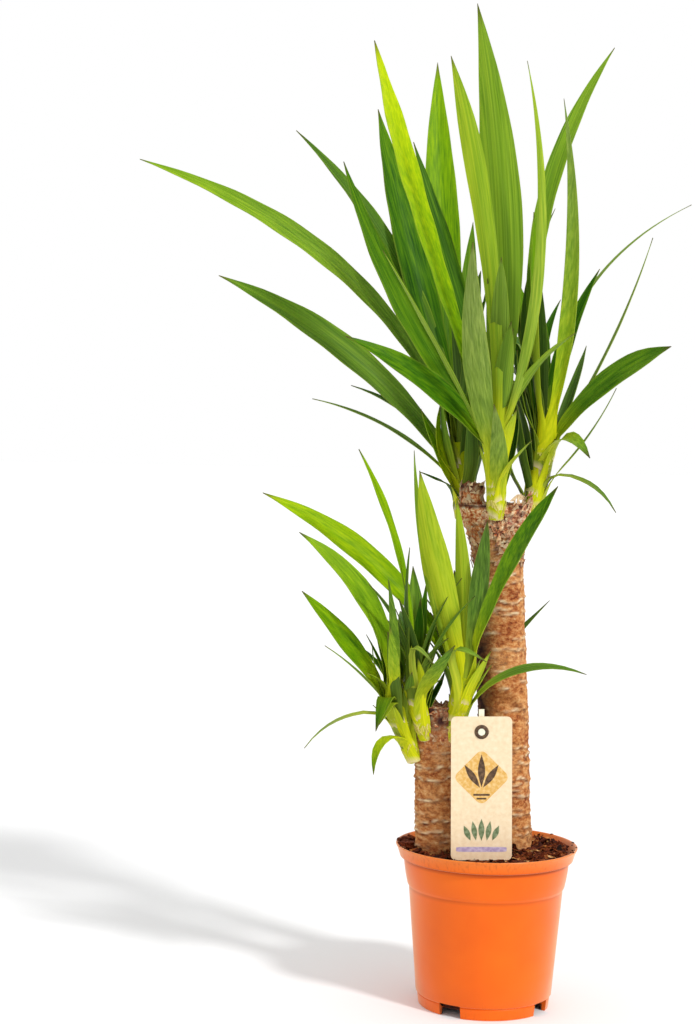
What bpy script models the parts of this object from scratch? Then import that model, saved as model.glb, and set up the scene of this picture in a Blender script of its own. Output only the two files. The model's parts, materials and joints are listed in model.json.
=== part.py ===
# Potted yucca: two bark-covered canes in an orange nursery pot, six shoots of sword-shaped leaves,
# and a card label on a plastic stake. Sizes below are in millimetres, +Z is up, the front is -Y.
# The origin is the middle of the pot's underside, which rests on z = 0.

import math
import random

import bmesh
import bpy
from mathutils import Matrix, Vector
from mathutils.bvhtree import BVHTree

MM = 0.001
GAP = 0.3

POT_HEIGHT = 150
POT_STEPS = 36
POT_WALL = 1.8
RIM_RADIUS = 85
LIP_HEIGHT = 12
COLLAR_RADIUS = 78
COLLAR_BOTTOM = 112
BODY_TOP_RADIUS = 72
BODY_FOOT_RADIUS = 63.5
FOOT_HEIGHT = 11
FOOT_RADIUS = 61
FOOT_RING = 3.5
FLOOR_RISE = 5
CENTRE_DISC_RADIUS = 28
DRAIN_COUNT = 8
DRAIN_RADIUS = 4.5
NOTCH_COUNT = 4
NOTCH_WIDTH = 22
NOTCH_HEIGHT = 12
FIRST_NOTCH = 236

SOIL_EDGE = 139
SOIL_MOUND = 7
SOIL_LUMP = 1.6

CANE_SIDES = 16
CANE_BOTTOM = 85
SCAR_SPACING = 17
SCAR_HEIGHT = 1.3
SCAR_START = 50
KNUCKLE_LENGTH = 62
TALL_CANE = {
    "foot": (23.5, 16, CANE_BOTTOM), "top": (3, 16, 468), "radius": 23.6, "head": (34, 29), "seed": 1,
}
SHORT_CANE = {
    "foot": (-46, -6, CANE_BOTTOM), "top": (-52, -8, 280), "radius": 19, "head": (19, 19), "seed": 2,
}
STUB = {"foot": (-17, 12, 455), "top": (-20, 9, 487), "radius": 10}

CARD_WIDTH = 55.6
CARD_HEIGHT = 131.5
CARD_THICKNESS = 0.8
CARD_CORNER = 4.5
CARD_PLACE = (-8.2, -50, 145)
CARD_LEAN = 1.2
CARD_HOLE_RADIUS = 4
CARD_HOLE_DROP = 14
STAKE_WIDTH = 5
STAKE_THICKNESS = 2
STAKE_DEPTH = 70
STAKE_ABOVE_CARD = 6.5
PEG_RADIUS = 3
BUTTON_RADIUS = 4.6
BUTTON_THICKNESS = 1

BLADE_THICKNESS = 0.8
BLADE_FOLD = 0.24
BLADE_BASE = 0.42
BLADE_TAPER = 1.7

# Each shoot is a short stalk with its leaves. A leaf is a row of: how far up the stalk it starts,
# its middle, its tip, its width, where it is widest, and how many degrees its upper face is turned
# from the stalk towards the front.
SHOOTS = {
    "shoot_front": {
        "base": (0.75, -9, 456), "top": (-1, -24, 535), "radius": (7, 10),
        "leaves": [
            (0.70, (-74, -62, 583), (-142, -80, 617), 26, 0.50, 60),
            (0.80, (-96, -50, 656), (-147, -60, 774), 27, 0.50, 55),
            (0.60, (-58, -72, 605), (-111, -105, 691), 8, 0.50, 10),
            (0.90, (-67, -60, 697), (-122, -85, 877), 30, 0.72, 50),
            (0.95, (-36, -20, 651), (-83, 0, 802), 18, 0.60, 60),
            (0.90, (-15, -85, 677), (-56, -125, 857), 19, 0.75, -40),
            (1.00, (-2, -48, 706), (-30, -55, 918), 38, 0.50, -60),
            (0.80, (30, -75, 697), (12, -100, 859), 11, 0.35, 0),
            (0.05, (0, -38, 512), (-8, -70, 560), 17, 0.45, 0),
            (0.50, (-26, -85, 598), (-34, -135, 697), 25, 0.50, 0),
            (0.40, (14, -45, 511), (28, -60, 528), 6, 0.50, 20),
        ],
    },
    "shoot_right": {
        "base": (35, 14, 455), "top": (49, 16, 532), "radius": (8.5, 9),
        "leaves": [
            (1.00, (43, 50, 741), (113, 90, 911), 18, 0.65, 40),
            (0.95, (64, -22, 686), (50, -50, 836), 15, 0.35, 50),
            (0.90, (34, 2, 612), (36, -12, 717), 10, 0.50, 30),
            (0.90, (30, 42, 665), (56, 60, 751), 9, 0.50, 30),
            (0.80, (78, 36, 652), (98.6, 48, 693), 17, 0.45, 50),
            (0.80, (88, 45, 672), (189, 75, 759), 4, 0.30, 55),
            (0.70, (44, 48, 606), (66, 85, 666), 12, 0.50, 30),
            (0.70, (112, 10, 634), (142, 5, 719), 4, 0.40, 40),
            (0.75, (98, -20, 583), (151, -60, 615), 24, 0.70, 60),
            (0.60, (74, 40, 577), (91, 75, 621), 10, 0.50, 30),
            (0.70, (65, -12, 532), (84, -30, 513), 20, 0.55, 30),
            (0.30, (86, 4, 533), (109, -15, 578), 4, 0.40, 30),
            (0.50, (82, 4, 492), (111, -15, 463), 7, 0.50, 30),
            (0.80, (23, 10, 569), (17, -4, 612), 11, 0.50, 30),
        ],
    },
    "shoot_back": {
        "base": (-25, 30, 454), "top": (-31, 37, 525), "radius": (9, 9),
        "leaves": [
            (0.95, (-72, 62, 604), (-346, 90, 794), 22, 0.62, 60),
            (0.50, (-153, 44, 619), (-264, 45, 679), 29, 0.55, 60),
            (0.90, (-101, 65, 709), (-195, 110, 828), 22, 0.50, 50),
            (1.00, (-84, 70, 720), (-115, 125, 853), 35, 0.50, 40),
            (1.00, (-49, 80, 711), (-56, 150, 905), 34, 0.55, 20),
            (0.35, (-104, 25, 540), (-172, 15, 563), 6, 0.40, 40),
            (0.30, (-52, 14, 489), (-71, 0, 497), 5, 0.50, 40),
            (0.60, (-81, 55, 552), (-136, 70, 578), 8, 0.50, 40),
            (0.40, (-48, 28, 512), (-52, 20, 560), 12, 0.50, 50),
            (0.15, (-46, 24, 500), (-70, 22, 556), 13, 0.45, 40),
        ],
    },
    "shoot_side": {
        "base": (-36, -14, 250), "top": (-24, -24, 310), "radius": (8, 9),
        "leaves": [
            (1.00, (7, -50, 408), (54, -45, 487), 22, 0.72, 45),
            (0.95, (-14, -38, 401), (-9, -42, 455), 18, 0.60, -60),
            (0.90, (-30, -32, 405), (-37, -30, 474), 15, 0.55, -60),
            (0.70, (-68, -45, 432), (-78, -60, 517), 9, 0.50, -50),
            (0.85, (-58, -50, 424), (-73, -70, 499), 29, 0.50, -50),
            (0.80, (-115, 8, 414), (-217, 15, 474), 25, 0.60, 55),
            (0.60, (-31, -56, 338), (-9, -66, 328), 9, 0.50, 30),
            (0.40, (48, -38, 322), (84, -45, 316), 9, 0.50, 50),
            (0.80, (2, 64, 313), (60, 60, 375), 10, 0.50, 50),
        ],
    },
    "shoot_low_left": {
        "base": (-69, -14, 230), "top": (-92, -22, 282), "radius": (6.5, 8),
        "leaves": [
            (1.00, (-107, -42, 360), (-180, -60, 441), 24, 0.60, 55),
            (0.90, (-131, -35, 336), (-177, -45, 387), 21, 0.55, 55),
            (0.70, (-122, -42, 312), (-155, -60, 339), 4, 0.40, 40),
            (0.80, (-143, -22, 266), (-172, -25, 240), 4, 0.40, 40),
            (0.45, (-103, -40, 247), (-108, -48, 221), 10, 0.50, 30),
            (0.95, (-96, -48, 286), (-104, -58, 268), 14, 0.50, 20),
            (1.00, (-92, -58, 345), (-99, -72, 401), 10, 0.50, 30),
            (0.95, (-102, -12, 334), (-113, -5, 374), 9, 0.50, 40),
            (0.90, (-93, -64, 331), (-97, -84, 360), 11, 0.50, 20),
            (0.85, (-104, -8, 320), (-117, 2, 344), 4, 0.50, 40),
        ],
    },
    "shoot_low_middle": {
        "base": (-60, -20, 252), "top": (-74, -34, 300), "radius": (5.5, 7),
        "leaves": [
            (1.00, (-91, -42, 428), (-128, -45, 517), 12, 0.72, 40),
            (1.00, (-82, -44, 362), (-80, -50, 429), 12, 0.50, 40),
            (0.90, (-70, -58, 338), (-56, -62, 324), 7, 0.50, 20),
            (0.70, (-56, -62, 315), (-38, -72, 343), 15, 0.50, -60),
            (0.95, (-70, -30, 333), (-68, -28, 381), 13, 0.50, 40),
        ],
    },
}

# Leaves at the back and sides of each shoot follow a rule: how many, the span of compass angles
# (0 is +X, 90 is the back), the span of lengths, and the span of leans from upright.
ROUND_LEAVES = {
    "shoot_front": (5, (-110, -40), (150, 260), (14, 38)),
    "shoot_right": (8, (98, 122), (150, 260), (18, 60)),
    "shoot_back": (9, (62, 138), (180, 262), (15, 58)),
    "shoot_side": (4, (100, 150), (80, 120), (15, 45)),
    "shoot_low_left": (5, (95, 170), (90, 170), (15, 75)),
    "shoot_low_middle": (4, (70, 120), (80, 150), (12, 50)),
}
ROUND_SEED = 7
ROUND_TRIES = 60
ROUND_WIDTH = (13, 24)


def clear_scene():
    for obj in list(bpy.data.objects):
        bpy.data.objects.remove(obj, do_unlink=True)


def make_material(name, colour, roughness):
    material = bpy.data.materials.new(name)
    material.use_nodes = True
    shader = material.node_tree.nodes["Principled BSDF"]
    shader.inputs["Base Color"].default_value = (*colour, 1)
    shader.inputs["Roughness"].default_value = roughness
    shader.inputs["Metallic"].default_value = 0
    return material


def add_object(name, shape, material=None, sharp=40):
    """Turns a bmesh in millimetres into an object in metres."""
    bmesh.ops.scale(shape, vec=Vector((MM, MM, MM)), verts=shape.verts)
    mesh = bpy.data.meshes.new(name)
    shape.to_mesh(mesh)
    shape.free()
    mesh.shade_smooth()
    mesh.set_sharp_from_angle(angle=math.radians(sharp))
    if material:
        mesh.materials.append(material)
    obj = bpy.data.objects.new(name, mesh)
    bpy.context.scene.collection.objects.link(obj)
    return obj


def combine(obj, others, operation):
    """Joins the other objects to this one, or cuts them from it, and removes them."""
    group = bpy.data.collections.new("tools")
    bpy.context.scene.collection.children.link(group)
    for other in others:
        bpy.context.scene.collection.objects.unlink(other)
        group.objects.link(other)
    modifier = obj.modifiers.new(operation.lower(), "BOOLEAN")
    modifier.operation = operation
    modifier.operand_type = "COLLECTION"
    modifier.collection = group
    modifier.solver = "EXACT"
    modifier.use_self = False
    finished = bpy.data.meshes.new_from_object(obj.evaluated_get(bpy.context.evaluated_depsgraph_get()))
    obj.modifiers.clear()
    obj.data = finished
    for other in others:
        bpy.data.objects.remove(other, do_unlink=True)
    bpy.data.collections.remove(group)


def turned(profile, steps):
    """A closed body of revolution round Z from (radius, height) points."""
    shape = bmesh.new()
    points = [shape.verts.new((radius, 0, height)) for radius, height in profile]
    edges = [shape.edges.new(pair) for pair in zip(points, points[1:])]
    bmesh.ops.spin(
        shape, geom=points + edges, cent=(0, 0, 0), axis=(0, 0, 1),
        angle=math.tau, steps=steps, use_merge=True,
    )
    bmesh.ops.remove_doubles(shape, verts=shape.verts, dist=0.001)
    bmesh.ops.recalc_face_normals(shape, faces=shape.faces)
    return shape


def rod(foot, top, foot_radius, top_radius, sides):
    """A tapered round bar between two points."""
    foot, top = Vector(foot), Vector(top)
    shape = bmesh.new()
    place = Matrix.Translation((foot + top) / 2) @ (top - foot).to_track_quat("Z", "Y").to_matrix().to_4x4()
    bmesh.ops.create_cone(
        shape, cap_ends=True, segments=sides, radius1=foot_radius, radius2=top_radius,
        depth=(top - foot).length, matrix=place,
    )
    return shape


def block(size, centre):
    shape = bmesh.new()
    bmesh.ops.create_cube(shape, size=1, matrix=Matrix.Translation(centre) @ Matrix.Diagonal((*size, 1)))
    return shape


def inner_radius(height):
    """Inside radius of the pot's wall at a height above its floor."""
    slope = (BODY_TOP_RADIUS - BODY_FOOT_RADIUS) / (COLLAR_BOTTOM - FOOT_HEIGHT)
    if height <= COLLAR_BOTTOM:
        return BODY_FOOT_RADIUS - POT_WALL + slope * (height - FOOT_HEIGHT)
    lip_bottom = POT_HEIGHT - LIP_HEIGHT
    collar_slope = (COLLAR_RADIUS - BODY_TOP_RADIUS) / (lip_bottom - COLLAR_BOTTOM)
    return BODY_TOP_RADIUS - POT_WALL + collar_slope * (height - COLLAR_BOTTOM)


def make_pot(material):
    lip_bottom = POT_HEIGHT - LIP_HEIGHT
    floor = FLOOR_RISE + POT_WALL
    profile = [
        (0, 0),
        (CENTRE_DISC_RADIUS, 0),
        (CENTRE_DISC_RADIUS + 3, FLOOR_RISE),
        (FOOT_RADIUS - FOOT_RING - 2, FLOOR_RISE),
        (FOOT_RADIUS - FOOT_RING, 0),
        (FOOT_RADIUS, 0),
        (FOOT_RADIUS + 1, FOOT_HEIGHT - 0.5),
        (BODY_FOOT_RADIUS, FOOT_HEIGHT + 0.5),
        (BODY_TOP_RADIUS, COLLAR_BOTTOM - 2),
        (BODY_TOP_RADIUS + 1.4, COLLAR_BOTTOM + 1),
        (COLLAR_RADIUS, lip_bottom - 1),
        (COLLAR_RADIUS + 2.4, lip_bottom),
        (RIM_RADIUS - 1.6, POT_HEIGHT - 6),
        (RIM_RADIUS, POT_HEIGHT - 1),
        (RIM_RADIUS - 0.6, POT_HEIGHT),
        (RIM_RADIUS - 2, POT_HEIGHT - 0.6),
        (inner_radius(lip_bottom) + 1, lip_bottom),
        (inner_radius(COLLAR_BOTTOM), COLLAR_BOTTOM),
        (inner_radius(FOOT_HEIGHT), FOOT_HEIGHT),
        (FOOT_RADIUS - FOOT_RING - 1, floor),
        (CENTRE_DISC_RADIUS + 3 - POT_WALL, floor),
        (CENTRE_DISC_RADIUS - POT_WALL, POT_WALL),
        (0, POT_WALL),
    ]
    pot = add_object("pot", turned(profile, POT_STEPS), material)
    cutters = []
    drain_circle = (CENTRE_DISC_RADIUS + FOOT_RADIUS - FOOT_RING) / 2
    for i in range(DRAIN_COUNT):
        angle = math.tau * (i + 0.5) / DRAIN_COUNT
        x, y = drain_circle * math.cos(angle), drain_circle * math.sin(angle)
        shape = rod((x, y, -5), (x, y, floor + 5), DRAIN_RADIUS, DRAIN_RADIUS, 12)
        cutters.append(add_object("drain", shape))
    notch_reach = 20
    for i in range(NOTCH_COUNT):
        shape = block((notch_reach, NOTCH_WIDTH, NOTCH_HEIGHT + 5), (FOOT_RADIUS, 0, (NOTCH_HEIGHT - 5) / 2))
        turn = Matrix.Rotation(math.radians(FIRST_NOTCH) + math.tau * i / NOTCH_COUNT, 4, "Z")
        bmesh.ops.transform(shape, matrix=turn, verts=shape.verts)
        cutters.append(add_object("notch", shape))
    combine(pot, cutters, "DIFFERENCE")
    return pot


def soil_height(x, y):
    """Height of the bark mulch: a low mound with uneven lumps."""
    out = math.hypot(x, y) / inner_radius(SOIL_EDGE)
    lumps = math.sin(x / 6.1 + 1.3) * math.cos(y / 5.3) + math.sin((x + y) / 9.7)
    return SOIL_EDGE + SOIL_MOUND * (1 - out ** 2) + SOIL_LUMP * lumps * (1 - out ** 6) / 2


def make_soil(material, holes):
    clearance = GAP + 0.2
    floor = FLOOR_RISE + POT_WALL + clearance
    outer = inner_radius(SOIL_EDGE) - clearance
    rings = 4
    profile = [
        (0, floor),
        (inner_radius(FOOT_HEIGHT) - 6, floor),
        (inner_radius(FOOT_HEIGHT + 6) - clearance, FOOT_HEIGHT + 6),
        (inner_radius(COLLAR_BOTTOM) - clearance, COLLAR_BOTTOM),
    ]
    profile += [(outer * (rings - i) / rings, SOIL_EDGE) for i in range(rings + 1)]
    shape = turned(profile, POT_STEPS)
    for vert in shape.verts:
        if vert.co.z > SOIL_EDGE - 1:
            vert.co.z = soil_height(vert.co.x, vert.co.y)
    soil = add_object("soil", shape, material)
    combine(soil, holes, "DIFFERENCE")
    return soil


def cane_shape(cane):
    """A cane with ring-shaped leaf scars, swelling at its head into a knuckle."""
    dice = random.Random(cane["seed"])
    foot, top = Vector(cane["foot"]), Vector(cane["top"])
    height = (top - foot).length
    scars = round((height - SCAR_START) / SCAR_SPACING)
    levels = [(0, 0)]
    for i in range(scars):
        place = SCAR_START + SCAR_SPACING * (i + dice.uniform(0.35, 0.65))
        levels += [(place - 5, 0), (place, SCAR_HEIGHT)]
    levels.append((height, 0))
    shape = bmesh.new()
    bmesh.ops.create_circle(shape, cap_ends=True, segments=CANE_SIDES, radius=1)
    bmesh.ops.reverse_faces(shape, faces=shape.faces)
    edges = [edge for edge in shape.edges if edge.is_boundary]
    rows = [list(shape.verts)]
    for _ in levels[1:]:
        made = bmesh.ops.extrude_edge_only(shape, edges=edges)["geom"]
        rows.append([part for part in made if isinstance(part, bmesh.types.BMVert)])
        edges = [part for part in made if isinstance(part, bmesh.types.BMEdge) and part.is_boundary]
        for vert in rows[-1]:
            vert.co.z += 1
    bmesh.ops.holes_fill(shape, edges=edges, sides=0)
    swell_start = height - KNUCKLE_LENGTH
    for (level, scar), row in zip(levels, rows):
        tilt = dice.uniform(-0.06, 0.06)
        swell = max(0, (level - swell_start) / KNUCKLE_LENGTH) ** 2
        radii = [cane["radius"] + (wide - cane["radius"]) * swell + scar for wide in cane["head"]]
        centre = foot.lerp(top, level / height)
        for vert in row:
            angle = math.atan2(vert.co.y, vert.co.x)
            rough = 0.5 * math.sin(3 * angle + level) + 0.4 * math.sin(5 * angle - level / 7)
            x = (radii[0] + rough) * math.cos(angle)
            y = (radii[1] + rough) * math.sin(angle)
            lift = tilt * x if 0 < level < height else 0
            vert.co = centre + Vector((x, y, lift))
    bmesh.ops.recalc_face_normals(shape, faces=shape.faces)
    return shape


def cane_hole(cane):
    """The plain round hole in the soil that a cane stands in."""
    foot, top = Vector(cane["foot"]), Vector(cane["top"])
    radius = cane["radius"] + SCAR_HEIGHT + 1.4
    shape = rod(foot, top, radius, radius, 20)
    for vert in shape.verts:
        if vert.co.z < (foot.z + top.z) / 2:
            vert.co.z = foot.z - GAP
    return shape


def along(leaf_root, middle, tip, t):
    """A point on the smooth arc from root through middle to tip, and its direction."""
    lower, upper = (middle - leaf_root).length, (tip - middle).length
    half = lower / (lower + upper)
    bend = (middle - (1 - half) ** 2 * leaf_root - half ** 2 * tip) / (2 * half * (1 - half))
    point = (1 - t) ** 2 * leaf_root + 2 * t * (1 - t) * bend + t ** 2 * tip
    heading = (1 - t) * (bend - leaf_root) + t * (tip - bend)
    return point, heading.normalized()


def blade_width(t, width, widest):
    """Width along a sword leaf: a narrower clasping base, then a long taper to the point."""
    if t < widest:
        ease = t / widest
        return width * (BLADE_BASE + (1 - BLADE_BASE) * ease * ease * (3 - 2 * ease))
    return max(0.9, width * (1 - ((t - widest) / (1 - widest)) ** BLADE_TAPER))


def blade(leaf_root, middle, tip, width, widest, turn):
    """One leaf: a sheet folded along its midrib, bent along its arc and given its thickness."""
    leaf_root, middle, tip = Vector(leaf_root), Vector(middle), Vector(tip)
    length = (middle - leaf_root).length + (tip - middle).length
    sections = min(6, 3 + int(length / 110))
    outward = Vector((tip.x - leaf_root.x, tip.y - leaf_root.y, 0)).normalized()
    level = Vector((0, 0, 1)).cross(outward)
    front = Vector((0, -1, 0))
    shape = bmesh.new()
    bmesh.ops.create_grid(shape, x_segments=2, y_segments=sections, size=0.5)
    bmesh.ops.triangulate(shape, faces=shape.faces)
    for vert in shape.verts:
        side, t = 2 * vert.co.x, vert.co.y + 0.5
        point, heading = along(leaf_root, middle, tip, t)
        face = heading.cross(level).normalized() * math.cos(math.radians(turn))
        face += front * math.sin(math.radians(turn))
        face = (face - face.dot(heading) * heading).normalized()
        across = face.cross(heading)
        half = blade_width(t, width, widest) / 2
        fold = BLADE_FOLD * (1.6 - t) * half
        vert.co = point + across * side * half + face * fold * (abs(side) - 0.5)
    bmesh.ops.recalc_face_normals(shape, faces=shape.faces)
    bmesh.ops.solidify(shape, geom=shape.faces, thickness=BLADE_THICKNESS)
    bmesh.ops.recalc_face_normals(shape, faces=shape.faces)
    return shape


def leaf_start(shoot, climb):
    return Vector(shoot["base"]).lerp(Vector(shoot["top"]), climb)


def round_leaf(shoot, rule, dice):
    """Draws one leaf for the back or side of a shoot."""
    _, angles, lengths, leans = rule
    angle = math.radians(dice.uniform(*angles))
    length = dice.uniform(*lengths)
    lean = math.radians(dice.uniform(*leans))
    start = leaf_start(shoot, dice.uniform(0.4, 1))
    out = Vector((math.cos(angle), math.sin(angle), 0))
    rise = Vector((0, 0, 1))
    first_lean = 0.55 * lean
    middle = start + length / 2 * (out * math.sin(first_lean) + rise * math.cos(first_lean))
    tip = middle + length / 2 * (out * math.sin(1.45 * lean) + rise * math.cos(1.45 * lean))
    return start, middle, tip, dice.uniform(*ROUND_WIDTH), 0.55, 0


def draw_leaves(solids):
    """Leaves of every shoot. A leaf drawn by rule is kept only where it crosses no other node."""
    leaves = {
        name: [blade(leaf_start(shoot, row[0]), *row[1:]) for row in shoot["leaves"]]
        for name, shoot in SHOOTS.items()
    }
    dice = random.Random(ROUND_SEED)
    for name, rule in ROUND_LEAVES.items():
        neighbours = [shape for key, shapes in leaves.items() if key != name for shape in shapes]
        others = [BVHTree.FromBMesh(shape) for shape in solids + neighbours]
        kept = 0
        for _ in range(ROUND_TRIES):
            candidate = blade(*round_leaf(SHOOTS[name], rule, dice))
            tree = BVHTree.FromBMesh(candidate)
            if kept < rule[0] and not any(tree.overlap(other) for other in others):
                leaves[name].append(candidate)
                kept += 1
            else:
                candidate.free()
    return leaves


def stalk(shoot, grow=0):
    """The stem of a shoot, wrapped in its leaf bases. Its lower end sits in a socket of its cane."""
    base, top = Vector(shoot["base"]), Vector(shoot["top"])
    low, high = shoot["radius"]
    reach = base - (top - base).normalized() * grow
    return rod(reach, top, low + grow, high + grow, 10)


def keep_outer_skin(obj):
    """Drops hollows that fused leaves have sealed, and loose scraps, and keeps the one large body."""
    shape = bmesh.new()
    shape.from_mesh(obj.data)
    waiting = set(shape.verts)
    islands = []
    while waiting:
        island, front = set(), [waiting.pop()]
        while front:
            vert = front.pop()
            island.add(vert)
            linked = {edge.other_vert(vert) for edge in vert.link_edges} & waiting
            waiting -= linked
            front += linked
        islands.append(island)
    islands.sort(key=len)
    loose = [vert for island in islands[:-1] for vert in island]
    bmesh.ops.delete(shape, geom=loose, context="VERTS")
    shape.to_mesh(obj.data)
    shape.free()


def make_shoots(material, leaves):
    for name, shoot in SHOOTS.items():
        body = add_object(name, stalk(shoot), material, sharp=50)
        combine(body, [add_object("leaf", shape) for shape in leaves[name]], "UNION")
        keep_outer_skin(body)


def make_cane(name, cane, material, sockets, extra=()):
    body = add_object(name, cane_shape(cane), material, sharp=50)
    if extra:
        combine(body, [add_object("stub", shape) for shape in extra], "UNION")
    combine(body, [add_object("socket", stalk(SHOOTS[key], GAP)) for key in sockets], "DIFFERENCE")
    keep_outer_skin(body)


def lean_label(shape):
    """Leans the label and its stake together to the left about the card's lower edge."""
    pivot = Matrix.Translation(CARD_PLACE)
    lean = pivot @ Matrix.Rotation(math.radians(-CARD_LEAN), 4, "Y") @ pivot.inverted()
    bmesh.ops.transform(shape, matrix=lean, verts=shape.verts)
    return shape


def make_card(material):
    x, y, bottom = CARD_PLACE
    shape = bmesh.new()
    size = (CARD_WIDTH, CARD_HEIGHT, 1)
    bmesh.ops.create_grid(shape, x_segments=1, y_segments=1, size=0.5, matrix=Matrix.Diagonal((*size, 1)))
    bmesh.ops.bevel(
        shape, geom=shape.verts, offset=CARD_CORNER, segments=4, profile=0.5, affect="VERTICES",
    )
    face = bmesh.ops.extrude_face_region(shape, geom=shape.faces)["geom"]
    moved = [part for part in face if isinstance(part, bmesh.types.BMVert)]
    bmesh.ops.translate(shape, vec=(0, 0, CARD_THICKNESS), verts=moved)
    bmesh.ops.recalc_face_normals(shape, faces=shape.faces)
    stand = Matrix.Translation((x, y + CARD_THICKNESS / 2, bottom + CARD_HEIGHT / 2)) @ Matrix.Rotation(
        math.radians(90), 4, "X"
    )
    bmesh.ops.transform(shape, matrix=stand, verts=shape.verts)
    card = add_object("card_label", lean_label(shape), material)
    hole_height = bottom + CARD_HEIGHT - CARD_HOLE_DROP
    hole = rod((x, y - 5, hole_height), (x, y + 5, hole_height), CARD_HOLE_RADIUS, CARD_HOLE_RADIUS, 20)
    combine(card, [add_object("hole", lean_label(hole))], "DIFFERENCE")


def stake_strip(grow=0):
    """The flat strip of the stake, pointed at its lower end."""
    x, y, bottom = CARD_PLACE
    back = y + CARD_THICKNESS / 2 + GAP
    top = bottom + CARD_HEIGHT + STAKE_ABOVE_CARD
    foot = bottom - STAKE_DEPTH
    centre = (x, back + STAKE_THICKNESS / 2, (top + foot) / 2)
    size = (STAKE_WIDTH + 2 * grow, STAKE_THICKNESS + 2 * grow, top - foot + 2 * grow)
    shape = block(size, centre)
    for vert in shape.verts:
        if vert.co.z < centre[2]:
            vert.co.x = x + (vert.co.x - x) * 0.4
    return lean_label(shape)


def make_stake(material):
    x, y, bottom = CARD_PLACE
    hole_height = bottom + CARD_HEIGHT - CARD_HOLE_DROP
    front = y - CARD_THICKNESS / 2 - GAP
    stake = add_object("label_stake", stake_strip(), material)
    peg = rod(
        (x, front - BUTTON_THICKNESS / 2, hole_height), (x, y + 2, hole_height), PEG_RADIUS, PEG_RADIUS, 16
    )
    button = rod(
        (x, front - BUTTON_THICKNESS, hole_height), (x, front, hole_height),
        BUTTON_RADIUS - 0.6, BUTTON_RADIUS, 20,
    )
    combine(stake, [add_object("peg", lean_label(peg)), add_object("button", lean_label(button))], "UNION")


def main():
    clear_scene()
    plastic = make_material("orange_plastic", (0.94, 0.18, 0.01), 0.38)
    mulch = make_material("bark_mulch", (0.07, 0.02, 0.01), 0.95)
    bark = make_material("cane_bark", (0.42, 0.22, 0.09), 0.85)
    leaf = make_material("yucca_leaf", (0.16, 0.32, 0.02), 0.42)
    paper = make_material("card", (0.84, 0.74, 0.56), 0.7)
    white = make_material("stake_plastic", (0.85, 0.84, 0.76), 0.4)

    leaves = draw_leaves([cane_shape(TALL_CANE), cane_shape(SHORT_CANE), stake_strip(1)])
    make_shoots(leaf, leaves)
    stub = rod(STUB["foot"], STUB["top"], STUB["radius"] + 2, STUB["radius"], 12)
    make_cane("cane_tall", TALL_CANE, bark, ["shoot_front", "shoot_right", "shoot_back"], [stub])
    make_cane("cane_short", SHORT_CANE, bark, ["shoot_side", "shoot_low_left", "shoot_low_middle"])
    make_pot(plastic)
    holes = [cane_hole(TALL_CANE), cane_hole(SHORT_CANE), stake_strip(GAP)]
    make_soil(mulch, [add_object("soil_hole", shape) for shape in holes])
    make_card(paper)
    make_stake(white)


main()
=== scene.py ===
import json
import random
from functools import partial
from math import atan2, copysign, cos, exp, hypot, pi, radians, sin, sqrt, tau

import bmesh
import bpy
from mathutils import Matrix, Vector, noise
from mathutils.bvhtree import BVHTree

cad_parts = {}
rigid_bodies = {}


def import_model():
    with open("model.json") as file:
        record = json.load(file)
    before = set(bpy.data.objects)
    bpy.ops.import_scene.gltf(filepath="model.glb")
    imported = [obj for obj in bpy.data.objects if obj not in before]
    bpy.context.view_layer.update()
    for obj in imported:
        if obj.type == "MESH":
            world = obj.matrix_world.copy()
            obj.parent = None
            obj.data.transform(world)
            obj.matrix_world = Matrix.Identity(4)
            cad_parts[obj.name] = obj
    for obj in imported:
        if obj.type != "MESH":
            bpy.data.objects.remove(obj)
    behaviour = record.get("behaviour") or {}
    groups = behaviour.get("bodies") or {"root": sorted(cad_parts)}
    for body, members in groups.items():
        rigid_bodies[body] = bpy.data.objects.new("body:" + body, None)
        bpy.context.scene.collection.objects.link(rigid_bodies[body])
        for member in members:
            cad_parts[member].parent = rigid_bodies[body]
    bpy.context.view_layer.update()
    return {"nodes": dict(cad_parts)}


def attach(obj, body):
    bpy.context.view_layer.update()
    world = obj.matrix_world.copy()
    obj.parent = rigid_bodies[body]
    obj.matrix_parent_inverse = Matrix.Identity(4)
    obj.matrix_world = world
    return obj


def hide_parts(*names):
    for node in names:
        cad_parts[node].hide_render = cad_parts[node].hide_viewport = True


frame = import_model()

mm = 0.001
up = Vector((0, 0, 1))
toFront = Vector((0, -1, 0))


def toLinear(hexColour):
    parts = [int(hexColour[i:i + 2], 16) / 255 for i in (1, 3, 5)]
    return (*[c / 12.92 if c <= 0.04045 else ((c + 0.055) / 1.055) ** 2.4 for c in parts], 1)


def setInputs(node, inputs):
    # numbers, hex colours or sockets to join, by name or in the node's own order
    for key, value in inputs.items() if isinstance(inputs, dict) else enumerate(inputs):
        if isinstance(value, bpy.types.NodeSocket):
            node.id_data.links.new(value, node.inputs[key])
        else:
            node.inputs[key].default_value = toLinear(value) if isinstance(value, str) else value


def addNode(tree, kind, inputs=(), out=0, stops=(), **settings):
    # gives the output that is used, or all of them where out is None. Stops are the colours of a ramp
    node = tree.nodes.new("ShaderNode" + kind)
    for name, value in settings.items():
        setattr(node, name, value)
    setInputs(node, inputs)
    if stops:
        ramp = node.color_ramp.elements
        ramp.remove(ramp[1])
        for i, (place, colour) in enumerate(stops):
            stop = ramp.new(place) if i else ramp[0]
            stop.position, stop.color = place, toLinear(colour)
    return node.outputs if out is None else node.outputs[out]


def newMaterial(name, inputs):
    material = bpy.data.materials.new(name)
    material.use_nodes = True
    shader = material.node_tree.nodes["Principled BSDF"]
    setInputs(shader, inputs)
    return material, shader, partial(addNode, material.node_tree)


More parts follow.
